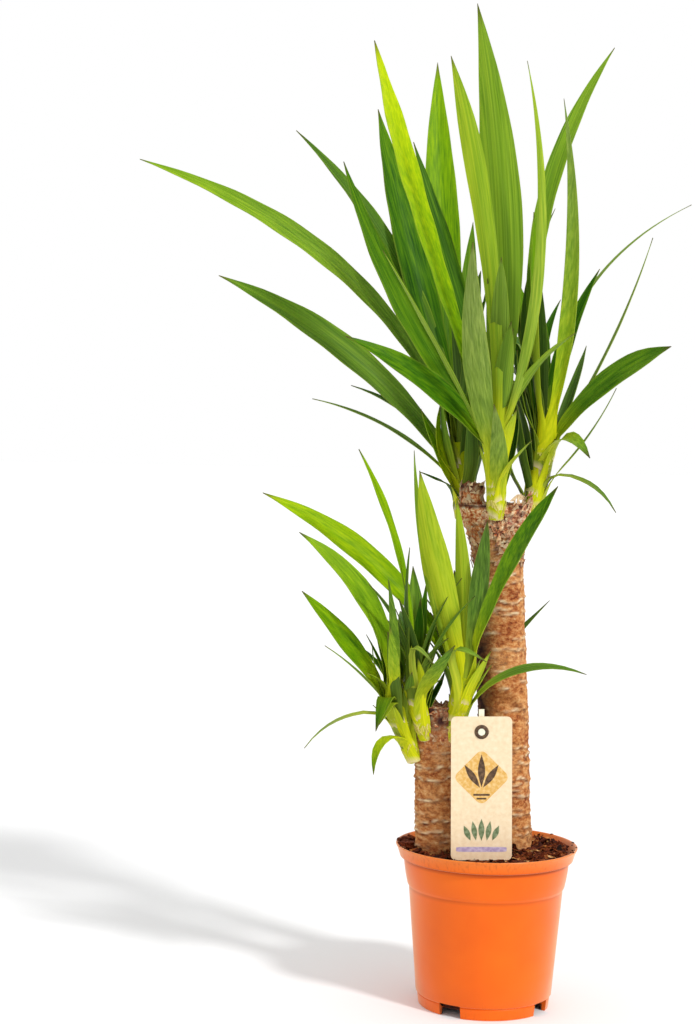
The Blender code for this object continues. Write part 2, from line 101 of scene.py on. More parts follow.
def layered(add, coat, overs):
    # each colour lies over those before it by its own share
    for share, over in overs:
        coat = add("Mix", {0: share, 6: coat, 7: over}, 2, data_type="RGBA")
    return coat


def onlyVerts(parts):
    return [part for part in parts if isinstance(part, bmesh.types.BMVert)]


def newObject(name, shape, materials=(), collection=None):
    mesh = bpy.data.meshes.new(name)
    shape.to_mesh(mesh)
    shape.free()
    for material in materials:
        mesh.materials.append(material)
    made = bpy.data.objects.new(name, mesh)
    (collection or bpy.context.scene.collection).objects.link(made)
    return made


def smoothFaces(mesh, sharp):
    mesh.shade_smooth()
    mesh.set_sharp_from_angle(angle=radians(sharp))


def finishPiece(name, shape, material, node=None, sharp=50):
    # millimetres to metres, then an object at the origin that rides on the part's one body
    bmesh.ops.scale(shape, vec=(mm, mm, mm), verts=shape.verts)
    piece = newObject(name, shape, [material])
    smoothFaces(piece.data, sharp)
    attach(piece, "root")
    if node:
        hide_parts(node)
    return piece


def turned(points, steps):
    # a profile of (radius, height) spun round Z
    shape = bmesh.new()
    verts = [shape.verts.new((radius, 0, height)) for radius, height in points]
    edges = [shape.edges.new(pair) for pair in zip(verts, verts[1:])]
    bmesh.ops.spin(
        shape, geom=verts + edges, cent=(0, 0, 0), axis=up, angle=tau, steps=steps, use_merge=True,
    )
    bmesh.ops.remove_doubles(shape, verts=shape.verts, dist=0.002)
    bmesh.ops.recalc_face_normals(shape, faces=shape.faces)
    return shape


def grain(x, y, z):
    return noise.noise(Vector((x, y, z)))


def ray(angle):
    return Vector((cos(angle), sin(angle), 0))


def clamp(value):
    return min(1, max(0, value))


def ease(value, start, end):
    share = clamp((value - start) / (end - start))
    return share * share * (3 - 2 * share)


def ends(stem):
    # foot, top and length of a stalk or cane
    foot, top = Vector(stem["foot"]), Vector(stem["top"])
    return foot, top, (top - foot).length


# Camera, light and floor
studio = {
    "eye": (-0.1368, -1.8, 0.5203),  # metres
    "lookDown": 1.975,
    "roll": 1.2,
    "lens": 67.95,
    "ambient": 0.84,
    "backdrop": 1.0,
    "keyHeight": 39,  # degrees above the floor
    "keyBearing": -48,  # degrees from +X, so it comes from the front right
    "keySpread": 7,
    "keyPower": 1.9,
    "floorWhite": "#F6F6F6",
    "floorHalf": 40,  # metres
}


def buildStudio():
    scene = bpy.context.scene
    camera = bpy.data.objects.new("camera", bpy.data.cameras.new("camera"))
    camera.data.lens = studio["lens"]
    camera.data.clip_end = 200
    camera.matrix_world = (
        Matrix.Translation(studio["eye"])
        @ Matrix.Rotation(radians(90 - studio["lookDown"]), 4, "X")
        @ Matrix.Rotation(radians(studio["roll"]), 4, "Z")
    )
    scene.collection.objects.link(camera)
    scene.camera = camera
    scene.view_settings.view_transform = "Standard"

    # a far soft light, so that the floor is lit evenly to its edge
    key = bpy.data.objects.new("keyLight", bpy.data.lights.new("keyLight", "SUN"))
    key.data.angle = radians(studio["keySpread"])
    key.data.energy = studio["keyPower"]
    height, bearing = radians(studio["keyHeight"]), radians(studio["keyBearing"])
    flat = cos(height)
    towards = Vector((flat * cos(bearing), flat * sin(bearing), sin(height)))
    aim = towards.to_track_quat("Z", "Y").to_matrix().to_4x4()
    key.matrix_world = Matrix.Translation(towards * 4) @ aim
    scene.collection.objects.link(key)

    # the white all round lights the plant softly and shows a little brighter than it lights
    world = bpy.data.worlds.new("whiteStudio")
    world.use_nodes = True
    scene.world = world
    add = partial(addNode, world.node_tree)
    seen = add("LightPath", out="Is Camera Ray")
    level = add("MapRange", [seen, 0, 1, studio["ambient"], studio["backdrop"]])
    setInputs(world.node_tree.nodes["Background"], {"Color": "#FFFFFF", "Strength": level})

    shape = bmesh.new()
    bmesh.ops.create_grid(shape, x_segments=2, y_segments=2, size=studio["floorHalf"])
    paint = {"Base Color": studio["floorWhite"], "Roughness": 0.9, "IOR": 1.5}
    floor = newObject("floor", shape, newMaterial("matteWhiteFloor", paint)[:1])
    print("studio: camera, key light and floor")


# Leaves
leafForm = {
    "thickness": 0.7,
    "across": 8,  # segments across a blade
    "sectionLength": 7.5,
    "fewestSections": 12,
    "fold": 0.24,
    "baseWidth": 0.42,
    "taper": 1.7,
    "tipWidth": 0.5,
    "edgeWave": 0.6,
    "waveLength": 55,
    "claspDrop": 14,  # how far down the stalk a leaf's clasping base starts
    "claspTurn": 92,  # half the angle that the base wraps round the stalk
    "claspWidth": 22,  # a leaf much narrower than this holds less of the stalk
    "claspLeast": 0.25,
    "claspFree": (8, 40),  # the base leaves the stalk between these lengths
    "stand": (0.3, 1.6),  # how far the base stands off the stalk
    "sunk": 2.5,  # how deep inside the stalk the hidden leaves start
    "pressed": 0.1,  # a base that would hang below the stalk is pressed up to this share
    "innerStart": (0.15, 0.85),  # share of the stalk where the inner leaves start
    "innerSag": 0.4,
    "spiral": 0.38,  # share of a turn from one wrapping leaf to the next
    "wrapLean": 0.34,
    "wrapTipLean": (0.1, 0.6),
    "wrapWidth": (1.3, 1.8),  # over the stalk's radius
    "scales": 6,
    "scaleHeight": 20,
    "scaleTurn": 58,
    "stalkSides": 24,
    # painted light: one half of a blade is paler, as its fold would catch the light
    "paintedFoldLight": 0.07,  # how much paler one half of a blade may be
    "dryTip": 0.045,  # share of the length that is dry and brown at the point
    "dryVaries": (0.2, 1.3),
    "dryFrom": 120,  # a shorter leaf has less of it
    "underGrey": 0.3,
    "green": [
        (0.0, "#1C4407"), (0.2, "#3C680A"), (0.4, "#5D850A"), (0.56, "#759B08"), (0.74, "#92B009"),
        (1.0, "#B8C90C"),
    ],
    "bloom": [(0.3, "#667A38"), (0.7, "#97A55C")],
    "margin": "#A9B43C",
    "yellow": [(0.3, "#A3B40E"), (0.7, "#D9D81C")],
    "heel": "#EAD6AC",
    "husk": [(0.36, "#B4685A"), (0.5, "#DDB98C"), (0.64, "#EFE0BA")],
    "dead": [(0.3, "#2E2C16"), (0.7, "#6A5C30")],
}

# A leaf is: start up the stalk, middle, tip, width, where it is widest, turn to the front, tone from
# dark to yellow, grey. A pair of tones or greys runs from the stalk to the tip. A heart row, a dark
# leaf between two stalks, has start, middle, tip, width and tone; its dark tone is painted shade. A
# round row has count, angles, lengths and leans, a wrap row has count, lengths and tones, and an
# inner row has count, angles, lengths, leans, widths and tones, and its dark tones are painted shade.
shoots = {
    "frontShoot": {
        "node": "shoot_front", "foot": (0.75, -9, 456), "top": (-1, -24, 535), "radius": (7, 10),
        "round": (5, (-110, -40), (150, 260), (14, 38)),
        "wrap": (6, (26, 60), (0.6, 0.9)),
        "inner": (7, (-10, 190), (90, 200), (3, 20), (9, 15), (0, 0.16)),
        "roundTone": (0.46, 0.62),
        "heart": [
            (0.3, (10, -8, 502), (20, 0, 560), 13, 0.05), (0.2, (8, -4, 488), (15, 6, 520), 10, 0.2),
        ],
        "leaves": [
            (0.7, (-74, -62, 583), (-142, -80, 617), 26, 0.5, 60, (0.14, 0.3), 0),
            (0.8, (-96, -50, 656), (-147, -60, 774), 27, 0.5, 55, (0.34, 0.24), 0.05),
            (0.6, (-58, -72, 605), (-111, -105, 691), 8, 0.5, 10, 0.6, 0.3),
            (0.9, (-67, -60, 697), (-122, -85, 877), 30, 0.72, 50, (0.3, 0.96), 0),
            (0.95, (-36, -20, 651), (-83, 0, 802), 18, 0.6, 60, (0.1, 0.2), 0.05),
            (0.9, (-15, -85, 677), (-56, -125, 857), 19, 0.75, -40, (0.66, 0.74), 0),
            (1, (-2, -48, 706), (-30, -55, 918), 38, 0.5, -60, (0.54, 0.52), 0),
            (0.8, (30, -75, 697), (12, -100, 859), 11, 0.35, 0, (0.62, 0.8), (0.3, 0.1)),
            (0.05, (0, -38, 512), (-8, -70, 560), 17, 0.45, 0, (0.66, 0.4), (0, 0.6)),
            (0.5, (-26, -85, 598), (-34, -135, 697), 25, 0.5, 0, (0.62, 0.36), (0.1, 0.8)),
            (0.4, (14, -45, 511), (28, -60, 528), 6, 0.5, 20, 0.6, 0.3),
        ],
    },
    "rightShoot": {
        "node": "shoot_right", "foot": (35, 14, 455), "top": (49, 16, 532), "radius": (8.5, 9),
        "round": (8, (98, 122), (150, 260), (18, 60)),
        "wrap": (6, (26, 60), (0.65, 0.95)),
        "inner": (7, (110, 250), (80, 190), (3, 22), (9, 15), (0, 0.14)),
        "heart": [
            (0.2, (26, 6, 508), (15, -2, 575), 14, 0.05), (0.2, (28, 22, 515), (16, 22, 585), 16, 0.02),
            (0.1, (20, 10, 486), (10, 9, 520), 13, 0.12), (0.1, (22, 20, 484), (10, 22, 516), 14, 0.04),
            (0.9, (37, 28, 640), (33, 34, 744), 15, 0.42),
        ],
        "leaves": [
            (1, (43, 50, 741), (113, 90, 911), 18, 0.65, 40, (0.4, 0.48), (0.1, 0.3)),
            (0.95, (64, -22, 686), (50, -50, 836), 15, 0.35, 50, (0.9, 0.36), (0, 0.8)),
            (0.9, (34, 2, 612), (36, -12, 717), 10, 0.5, 30, 0.8, 0.1),
            (0.9, (30, 42, 665), (56, 60, 751), 9, 0.5, 30, 0.1, 0.2),
            (0.8, (78, 36, 652), (98.6, 48, 693), 17, 0.45, 50, 0.14, 0),
            (0.8, (88, 45, 672), (189, 75, 759), 4, 0.3, 55, 0.25, 0.8),
            (0.7, (44, 48, 606), (66, 85, 666), 12, 0.5, 30, 0.12, 0),
            (0.7, (112, 10, 634), (142, 5, 719), 4, 0.4, 40, 0.2, 0.9),
            (0.75, (98, -20, 583), (151, -60, 615), 24, 0.7, 60, (0.34, 0.26), 0.1),
            (0.6, (74, 40, 577), (91, 75, 621), 10, 0.5, 30, 0.08, 0.3),
            (0.7, (65, -12, 532), (84, -30, 513), 20, 0.55, 30, (0.5, 0.3), 0.2),
            (0.3, (86, 4, 533), (109, -15, 578), 4, 0.4, 30, 0.35, 0.6),
            (0.5, (82, 4, 492), (111, -15, 463), 7, 0.5, 30, 0.2, 0.4),
            (0.8, (23, 10, 569), (17, -4, 612), 11, 0.5, 30, 0.28, 0),
        ],
    },
    "backShoot": {
        "node": "shoot_back", "foot": (-25, 30, 454), "top": (-31, 37, 525), "radius": (9, 9),
        "round": (9, (62, 138), (180, 262), (15, 58)),
        "wrap": (6, (26, 60), (0.5, 0.8)),
        "inner": (9, (-110, 30), (90, 210), (3, 22), (9, 16), (0, 0.14)),
        "heart": [
            (0.2, (-18, 20, 512), (-11, 4, 585), 16, 0.02), (0.2, (-22, 16, 500), (-26, 6, 560), 14, 0.1),
            (0.1, (-13, 26, 505), (-2, 24, 560), 12, 0.05),
            (0.3, (-43, 24, 514), (-51, 20, 575), 15, 0.3),
        ],
        "leaves": [
            (0.95, (-72, 62, 604), (-346, 90, 794), 22, 0.62, 60, (0.3, 0.6), (0.5, 0.15)),
            (0.5, (-153, 44, 619), (-264, 45, 679), 29, 0.55, 60, (0.3, 0.34), (0.45, 0.15)),
            (0.9, (-101, 65, 709), (-195, 110, 828), 22, 0.5, 50, 0.22, 0.2),
            (1, (-84, 70, 720), (-115, 125, 853), 35, 0.5, 40, (0.08, 0.28), 0),
            (1, (-49, 80, 711), (-56, 150, 905), 34, 0.55, 20, (0.3, 0.56), 0),
            (0.35, (-104, 25, 540), (-172, 15, 563), 6, 0.4, 40, 0.25, 0.6),
            (0.3, (-52, 14, 489), (-71, 0, 497), 5, 0.5, 40, 0, 0),
            (0.6, (-81, 55, 552), (-136, 70, 578), 8, 0.5, 40, 0.12, 0.3),
            (0.4, (-48, 28, 512), (-52, 20, 560), 12, 0.5, 50, 0.6, 0),
            (0.15, (-46, 24, 500), (-70, 22, 556), 13, 0.45, 40, (0.7, 0.36), 0),
        ],
    },
    "sideShoot": {
        "node": "shoot_side", "foot": (-36, -14, 250), "top": (-24, -24, 310), "radius": (8, 9),
        "round": (4, (100, 150), (80, 120), (15, 45)),
        "wrap": (6, (30, 80), (0.6, 0.9)),
        "inner": (6, (80, 210), (70, 140), (5, 30), (8, 13), (0, 0.2)),
        "leaves": [
            (1, (7, -50, 408), (54, -45, 487), 22, 0.72, 45, (0.62, 0.14), (0.2, 0)),
            (0.95, (-14, -38, 401), (-9, -42, 455), 18, 0.6, -60, (0.26, 0.06), 0),
            (0.9, (-30, -32, 405), (-37, -30, 474), 15, 0.55, -60, 0.84, 0.05),
            (0.7, (-68, -45, 432), (-78, -60, 517), 9, 0.5, -50, (0.8, 0.55), 0),
            (0.85, (-58, -50, 424), (-73, -70, 499), 29, 0.5, -50, (0.98, 0.84), 0),
            (0.8, (-115, 8, 414), (-217, 15, 474), 25, 0.6, 55, (0.52, 0.74), 0),
            (0.6, (-31, -56, 338), (-9, -66, 328), 9, 0.5, 30, 0.45, 0.4),
            (0.4, (48, -38, 322), (84, -45, 316), 9, 0.5, 50, 0.25, 0.3),
            (0.8, (2, 64, 313), (60, 60, 375), 10, 0.5, 50, 0.05, 0.3),
        ],
    },
    "lowLeftShoot": {
        "node": "shoot_low_left", "foot": (-69, -14, 230), "top": (-92, -22, 282), "radius": (6.5, 8),
        "round": (5, (95, 170), (90, 170), (15, 75)),
        "wrap": (7, (22, 56), (0.7, 1)),
        "inner": (14, (-150, 150), (45, 110), (8, 50), (6, 12), (0.08, 0.42)),
        "heart": [
            (0.9, (-98, -50, 292), (-107, -58, 262), 16, 0.16),
            (0.6, (-90, -44, 300), (-98, -48, 352), 12, 0.1),
            (0.7, (-104, -24, 300), (-112, -20, 338), 9, 0.3),
        ],
        "leaves": [
            (1, (-107, -42, 360), (-180, -60, 441), 24, 0.6, 55, (0.44, 0.58), (0, 0.15)),
            (0.9, (-131, -35, 336), (-177, -45, 387), 21, 0.55, 55, (0.36, 0.5), 0),
            (0.7, (-122, -42, 312), (-155, -60, 339), 4, 0.4, 40, 0.2, 0.6),
            (0.8, (-143, -22, 266), (-172, -25, 240), 4, 0.4, 40, 0.4, 1.2),
            (0.45, (-103, -40, 247), (-108, -48, 221), 10, 0.5, 30, (0.6, 0.3), 0),
            (0.95, (-96, -48, 286), (-104, -58, 268), 14, 0.5, 20, 0.32, 0.2),
            (1, (-92, -58, 345), (-99, -72, 401), 10, 0.5, 30, (0.7, 0.2), 0),
            (0.95, (-102, -12, 334), (-113, -5, 374), 9, 0.5, 40, 0.12, 0),
            (0.9, (-93, -64, 331), (-97, -84, 360), 11, 0.5, 20, (0.9, 0.55), 0),
            (0.85, (-104, -8, 320), (-117, 2, 344), 4, 0.5, 40, 0.2, 0),
        ],
    },
    "lowMiddleShoot": {
        "node": "shoot_low_middle", "foot": (-60, -20, 252), "top": (-74, -34, 300), "radius": (5.5, 7),
        "round": (4, (70, 120), (80, 150), (12, 50)),
        "wrap": (7, (22, 56), (0.7, 1)),
        "inner": (18, (-180, 180), (45, 125), (6, 46), (6, 12), (0.05, 0.4)),
        "heart": [
            (0.4, (-55, -26, 298), (-45, -22, 322), 12, 0.1),
            (0.3, (-52, -16, 290), (-43, -10, 312), 10, 0),
            (0.7, (-66, -22, 350), (-62, -14, 396), 11, 0.2),
            (0.8, (-60, -30, 336), (-48, -28, 372), 11, 0.12),
        ],
        "leaves": [
            (1, (-91, -42, 428), (-128, -45, 517), 12, 0.72, 40, (0.5, 0.6), 0),
            (1, (-82, -44, 362), (-80, -50, 429), 12, 0.5, 40, 0.1, 0),
            (0.9, (-70, -58, 338), (-56, -62, 324), 7, 0.5, 20, 0.36, 0.6),
            (0.7, (-56, -62, 315), (-38, -72, 343), 15, 0.5, -60, (0.52, 0.2), 0),
            (0.95, (-70, -30, 333), (-68, -28, 381), 13, 0.5, 40, 0.08, 0),
        ],
    },
}

roundRule = {
    "seed": 7,
    "tries": 60,
    "start": (0.4, 1),
    "width": (13, 24),
    "widest": 0.55,
    "sag": 0.45,
    "tone": (0.05, 0.4),
    "grey": (0, 0.25),
    "near": 3,  # a leaf of the rule belongs where the part's shoot has one
}


def along(root, middle, tip, t):
    # a point on the arc from root through middle to tip, and its direction
    lower, upper = (middle - root).length, (tip - middle).length
    half = lower / (lower + upper)
    bend = (middle - (1 - half) ** 2 * root - half ** 2 * tip) / (2 * half * (1 - half))
    point = (1 - t) ** 2 * root + 2 * t * (1 - t) * bend + t ** 2 * tip
    heading = (1 - t) * (bend - root) + t * (tip - bend)
    return point, heading.normalized()


def bladeWidth(t, width, widest):
    if t < widest:
        return width * (leafForm["baseWidth"] + (1 - leafForm["baseWidth"]) * ease(t, 0, widest))
    return max(leafForm["tipWidth"], width * (1 - ((t - widest) / (1 - widest)) ** leafForm["taper"]))


def runs(value, t):
    # a value that stays the same, or one that runs from the stalk to the tip
    return value[0] + (value[1] - value[0]) * t if isinstance(value, tuple) else value


def holdStalk(shoot, outward):
    # the stalk's foot and directions, and a function for a spot on it: how far up, off and round
    foot, top, reach = ends(shoot)
    low, high = shoot["radius"]
    axis = (top - foot).normalized()
    away = (outward - outward.dot(axis) * axis).normalized()
    beside = axis.cross(away)

    def spotOn(climbed, lift, swing):
        climbed = max(climbed, leafForm["pressed"] * climbed)
        radius = low + (high - low) * climbed / reach + lift
        return foot + axis * climbed + radius * (away * cos(swing) + beside * sin(swing))

    return foot, axis, reach, beside, spotOn


def addBlade(shape, layers, shoot, leaf, dice):
    root, middle, tip, width, widest, turn, tone, grey = leaf
    place, tint, dry = layers
    form = leafForm
    outward = Vector((tip.x - root.x, tip.y - root.y, 0)).normalized()
    foot, axis, _, beside, spotOn = holdStalk(shoot, outward)
    length = (middle - root).length + (tip - middle).length
    level = up.cross(outward)
    tilt = radians(turn or 0)
    wrap = radians(form["claspTurn"]) * min(1, form["claspLeast"] + width / form["claspWidth"])
    stand, paintedFoldLight = dice.uniform(*form["stand"]), dice.uniform(-form["paintedFoldLight"], form["paintedFoldLight"])
    if turn is None:
        stand = -form["sunk"]
    wave, crest = dice.uniform(0, tau), dice.uniform(0, tau)
    dryShare = form["dryTip"] * dice.uniform(*form["dryVaries"]) * min(1, length / form["dryFrom"])
    rows = max(form["fewestSections"], round(length / form["sectionLength"]))
    made = bmesh.ops.create_grid(shape, x_segments=form["across"], y_segments=rows, size=0.5)["verts"]
    mirror = 0
    for vert in sorted(made, key=lambda each: each.co.y, reverse=True):
        side, t = 2 * vert.co.x, vert.co.y + 0.5
        t *= 0.5 + 0.5 * t          # short sections at the stalk, long ones at the tip
        gone = t * length
        point, heading = along(root, middle, tip, t)
        face = heading.cross(level).normalized() * cos(tilt) + toFront * sin(tilt)
        face = (face - face.dot(heading) * heading).normalized()
        across = face.cross(heading)
        half = bladeWidth(t, width, widest) / 2
        cup = form["fold"] * (1.6 - t) * half * (abs(side) ** 1.4 - 0.45)
        ripple = form["edgeWave"] * sin(gone / form["waveLength"] * tau + wave)
        ripple *= abs(side) ** 2 * min(1, half / 8) * copysign(1, side * sin(crest))
        free = ease(gone, *form["claspFree"])
        spot = point + across * side * half + face * (cup + ripple)
        if free < 1:
            # the lowest part of the leaf wraps the stalk, and opens into the blade
            mirror = mirror or copysign(1, across.dot(beside))
            climbed = (root - foot).dot(axis) - form["claspDrop"] + gone * 0.9 - 4 * side * side
            swing = mirror * side * wrap * (1 - 0.55 * ease(gone, 0, 45))
            spot = spotOn(climbed, stand + 0.05 * gone, swing).lerp(spot, free)
        vert.co = spot
        vert[place] = (side * half, gone, t)
        # one half's tone is raised or lowered as painted light on the fold
        vert[tint] = (runs(tone, t) + paintedFoldLight * side, runs(grey, t) + form["underGrey"], abs(side))
        vert[dry] = max(0, (t - 1 + dryShare) / dryShare)


def addScale(shape, layers, shoot, climb, angle, dryness):
    # an old leaf base, short and papery, round the foot of the stalk
    place, tint, dry = layers
    _, _, reach, _, spotOn = holdStalk(shoot, ray(angle))
    for vert in bmesh.ops.create_grid(shape, x_segments=8, y_segments=6, size=0.5)["verts"]:
        side, rise = 2 * vert.co.x, vert.co.y + 0.5
        climbed = climb * reach + leafForm["scaleHeight"] * (rise - 0.35) - 7 * rise * side ** 2
        lift = 0.9 + 1.3 * rise ** 3 + 0.4 * grain(side * 2, rise * 2, angle)
        swing = radians(leafForm["scaleTurn"] * (1 - 0.5 * rise ** 2)) * side
        vert.co = spotOn(climbed, lift, swing)
        vert[place] = (side * 10, 2 + 14 * rise, 0.05)
        vert[tint] = (0.7, 0, abs(side))
        vert[dry] = 0.5 * dryness * min(1, 0.45 + 0.8 * rise)


def arched(root, angle, length, lean, sag):
    # root, middle and tip of a leaf that leans out more towards its tip
    spots = [root]
    for bend in (1 - sag, 1 + sag):
        way = ray(angle) * sin(bend * lean) + up * cos(bend * lean)
        spots.append(spots[-1] + length / 2 * way)
    return spots


def innerLeaves(shoot, looks):
    # short leaves that fill the heart of a shoot, given dark tones as painted shade
    count, angles, lengths, leans, widths, tones = shoot["inner"]
    foot, top, _ = ends(shoot)
    found = []
    for i in range(count):
        angle = radians(angles[0] + (angles[1] - angles[0]) * (i + looks.random()) / count)
        length, lean = looks.uniform(*lengths), radians(looks.uniform(*leans))
        root = foot.lerp(top, looks.uniform(*leafForm["innerStart"]))
        arc = arched(root, angle, length, lean, leafForm["innerSag"])
        found.append((*arc, looks.uniform(*widths), 0.5, None, looks.uniform(*tones), 0))
    # dark ones between it and the next stalk, their dark tone painted shade
    for share, middle, tip, width, tone in shoot.get("heart", ()):
        found.append((foot.lerp(top, share), Vector(middle), Vector(tip), width, 0.5, None, tone, 0))
    # and the stubs of leaves that hug its stalk
    count, lengths, tones = shoot["wrap"]
    axis = (top - foot).normalized()
    for i in range(count):
        out = ray(tau * (i * leafForm["spiral"] + 0.1 * looks.random()))
        length = looks.uniform(*lengths)
        root = foot.lerp(top, 0.04 + 0.6 * (i + looks.random()) / count)
        middle = root + length / 2 * (axis + out * leafForm["wrapLean"])
        tip = middle + length / 2 * (axis + out * looks.uniform(*leafForm["wrapTipLean"]))
        width = shoot["radius"][1] * looks.uniform(*leafForm["wrapWidth"])
        found.append((root, middle, tip, width, 0.4, 0, looks.uniform(*tones), looks.uniform(0, 0.2)))
    return found


def roundLeaves(shoot, dice, looks):
    # the leaves at the back and sides of a shoot, drawn as the part draws them
    node, rule = frame["nodes"][shoot["node"]], roundRule
    shape = bmesh.new()
    shape.from_mesh(node.data)
    shape.transform(node.matrix_world)
    solid = BVHTree.FromBMesh(shape)
    shape.free()
    count, angles, lengths, leans = shoot["round"]
    foot, top, _ = ends(shoot)
    found = []
    for _ in range(rule["tries"]):
        angle, length = radians(dice.uniform(*angles)), dice.uniform(*lengths)
        lean = radians(dice.uniform(*leans))
        root, width = foot.lerp(top, dice.uniform(*rule["start"])), dice.uniform(*rule["width"])
        arc = arched(root, angle, length, lean, rule["sag"])
        gaps = [solid.find_nearest(point * mm)[3] / mm for point in arc[1:]]
        if len(found) < count and max(gaps) < rule["near"]:
            tone = looks.uniform(*shoot.get("roundTone", rule["tone"]))
            found.append((*arc, width, rule["widest"], 0, tone, looks.uniform(*rule["grey"])))
    return found


def leafMaterial():
    # Yucca leaf: a smooth waxy skin over parallel veins, paler at its base and edges, greyer underneath,
    # and thin enough to let some light through.
    material, shader, add = newMaterial("waxyYuccaLeaf", {
        "IOR": 1.45, "Specular IOR Level": 0.05, "Subsurface Weight": 0.12, "Subsurface Scale": 0.003,
        "Subsurface Radius": (0.6, 1.0, 0.15),
    })
    place, tint, dry = (
        add("Attribute", out=kind, attribute_name=name)
        for name, kind in (("bladePlace", "Vector"), ("bladeTint", "Vector"), ("bladeDry", "Fac"))
    )
    aside, gone, _ = add("SeparateXYZ", [place], None)
    tone, grey, edge = add("SeparateXYZ", [tint], None)

    # veins 1.5 mm apart run the length of the blade, with broad streaks. Real ones are too fine to show
    shift = add("Math", [tone, 61], operation="MULTIPLY")
    onBlade = add("CombineXYZ", [aside, gone, shift])
    veinAt, streakAt = (
        add("Mapping", {"Vector": onBlade, "Scale": scale})
        for scale in ((0.7, 0.004, 1), (0.16, 0.006, 1))
    )
    vein = add("TexNoise", {"Vector": veinAt, "Scale": 1, "Detail": 3, "Roughness": 0.6})
    streak = add("TexNoise", {"Vector": streakAt, "Scale": 1, "Detail": 2})
    veined = add("MapRange", [vein, 0.3, 0.7, -0.14, 0.14])
    streaked = add("MapRange", [streak, 0.3, 0.7, -0.08, 0.08])
    moved = add("Math", [veined, streaked], operation="ADD")
    shade = add("Math", [tone, moved], operation="ADD", use_clamp=True)
    coat = add("ValToRGB", [shade], stops=leafForm["green"])

    bloom, yellow, husk, dead = (
        add("ValToRGB", [vein], stops=leafForm[name]) for name in ("bloom", "yellow", "husk", "dead")
    )
    greyness = add("Math", [grey, 0.8], operation="MULTIPLY", use_clamp=True)
    rim = add("MapRange", [edge, 0.88, 1, 0, 0.2])
    # yellow towards the stalk, and less so on a dark leaf
    low = add("MapRange", [gone, 8, 70, 1.5, 0], interpolation_type="SMOOTHSTEP")
    yellowed = add("Math", [low, tone], operation="MULTIPLY", use_clamp=True)
    # cream where an old leaf base meets the bark
    heel = add("MapRange", [gone, 1, 7.5, 0.75, 0])
    # dry parts are papery, cream and reddish at the stalk, and dark at the points
    point = add("MapRange", [gone, 20, 34])
    shed = layered(add, husk, [(point, dead)])
    setInputs(shader, {
        "Base Color": layered(add, coat, [
            (greyness, bloom), (rim, leafForm["margin"]), (yellowed, yellow), (heel, leafForm["heel"]),
            (dry, shed),
        ]),
        "Roughness": add("MapRange", [vein, 0, 1, 0.3, 0.52]),
        "Normal": add("Bump", {"Height": vein, "Strength": 0.4, "Distance": 0.0006}),
    })
    return material


def buildShoots():
    leaf = leafMaterial()
    dice = random.Random(roundRule["seed"])
    scales = leafForm["scales"]
    for name, shoot in shoots.items():
        looks = random.Random(name)
        foot, top, reach = ends(shoot)
        placed = [
            (foot.lerp(top, row[0]), Vector(row[1]), Vector(row[2]), *row[3:]) for row in shoot["leaves"]
        ]
        drawn = roundLeaves(shoot, dice, looks)
        inner = innerLeaves(shoot, looks)
        shape = bmesh.new()
        kinds = shape.verts.layers
        place, tint = (kinds.float_vector.new(layer) for layer in ("bladePlace", "bladeTint"))
        layers = place, tint, kinds.float.new("bladeDry")
        for row in placed + drawn + inner:
            addBlade(shape, layers, shoot, row, looks)
        for i in range(scales):
            climb, angle = 0.1 * looks.random(), tau * (i + looks.random()) / scales
            addScale(shape, layers, shoot, climb, angle, looks.random())
        skin = bmesh.ops.solidify(shape, geom=shape.faces[:], thickness=leafForm["thickness"])["geom"]
        for vert in onlyVerts(skin):
            tone, grey, edge = vert[tint]
            vert[tint] = (tone, max(0, grey - leafForm["underGrey"]), edge)
        low, high = shoot["radius"]
        stands = (top - foot).to_track_quat("Z", "Y").to_matrix().to_4x4()
        stem = bmesh.ops.create_cone(
            shape, cap_ends=True, segments=leafForm["stalkSides"], radius1=low, radius2=high,
            depth=reach, matrix=Matrix.Translation((foot + top) / 2) @ stands,
        )["verts"]
        for vert in stem:
            vert[place] = (0, 8, 0.05)
            vert[tint] = (0.55, 0, 0)
        bmesh.ops.recalc_face_normals(shape, faces=shape.faces)
        piece = finishPiece(name, shape, leaf, shoot["node"], 60)
        counts = len(placed), "placed,", len(drawn), "by rule,", len(inner), "inner,"
        print(name, *counts, len(piece.data.polygons), "faces")


# Canes
caneForm = {
    "rowGap": 1.6,
    "scarStart": 50,
    "scarSpacing": 17,
    "scarHeight": 1.2,
    "scarWidth": 0.9,
    "scarLean": (-3, 3),
    "scarReach": 9,  # nothing of a scar lies further off its ring
    "scarFade": 0.3,
    "knuckle": 62,  # the length over which the head swells
    "wrinkle": 0.75,
    "fibre": 0.35,
    "knobble": 3.4,  # roughness of the swollen head
    "shoulder": 4,  # how far it bulges on the left, under the cut stub
    "flake": [(1.8, 4.2), (2.5, 7), (0.1, 0.8), (-0.8, 0.8)],  # width, height, lean and skew
    "flakeThickness": 0.6,
    "layers": ("barkScar", "barkDark", "barkFleck"),
    "tan": [
        (0.33, "#451B0E"), (0.43, "#985026"), (0.51, "#C07C44"), (0.62, "#DAA66C"), (0.74, "#EDD0A0"),
    ],
    "warm": [(0.36, "#84401E"), (0.48, "#B97B42"), (0.6, "#CC9C66"), (0.7, "#A86638")],
    "speckle": [
        (0.34, "#5E1C12"), (0.43, "#B8582E"), (0.5, "#D08C58"), (0.57, "#E4B888"), (0.66, "#F6E9C8"),
    ],
    "mauve": "#8C7074",
    "scar": "#F0DAB0",
    "crack": "#3B1F1C",
}
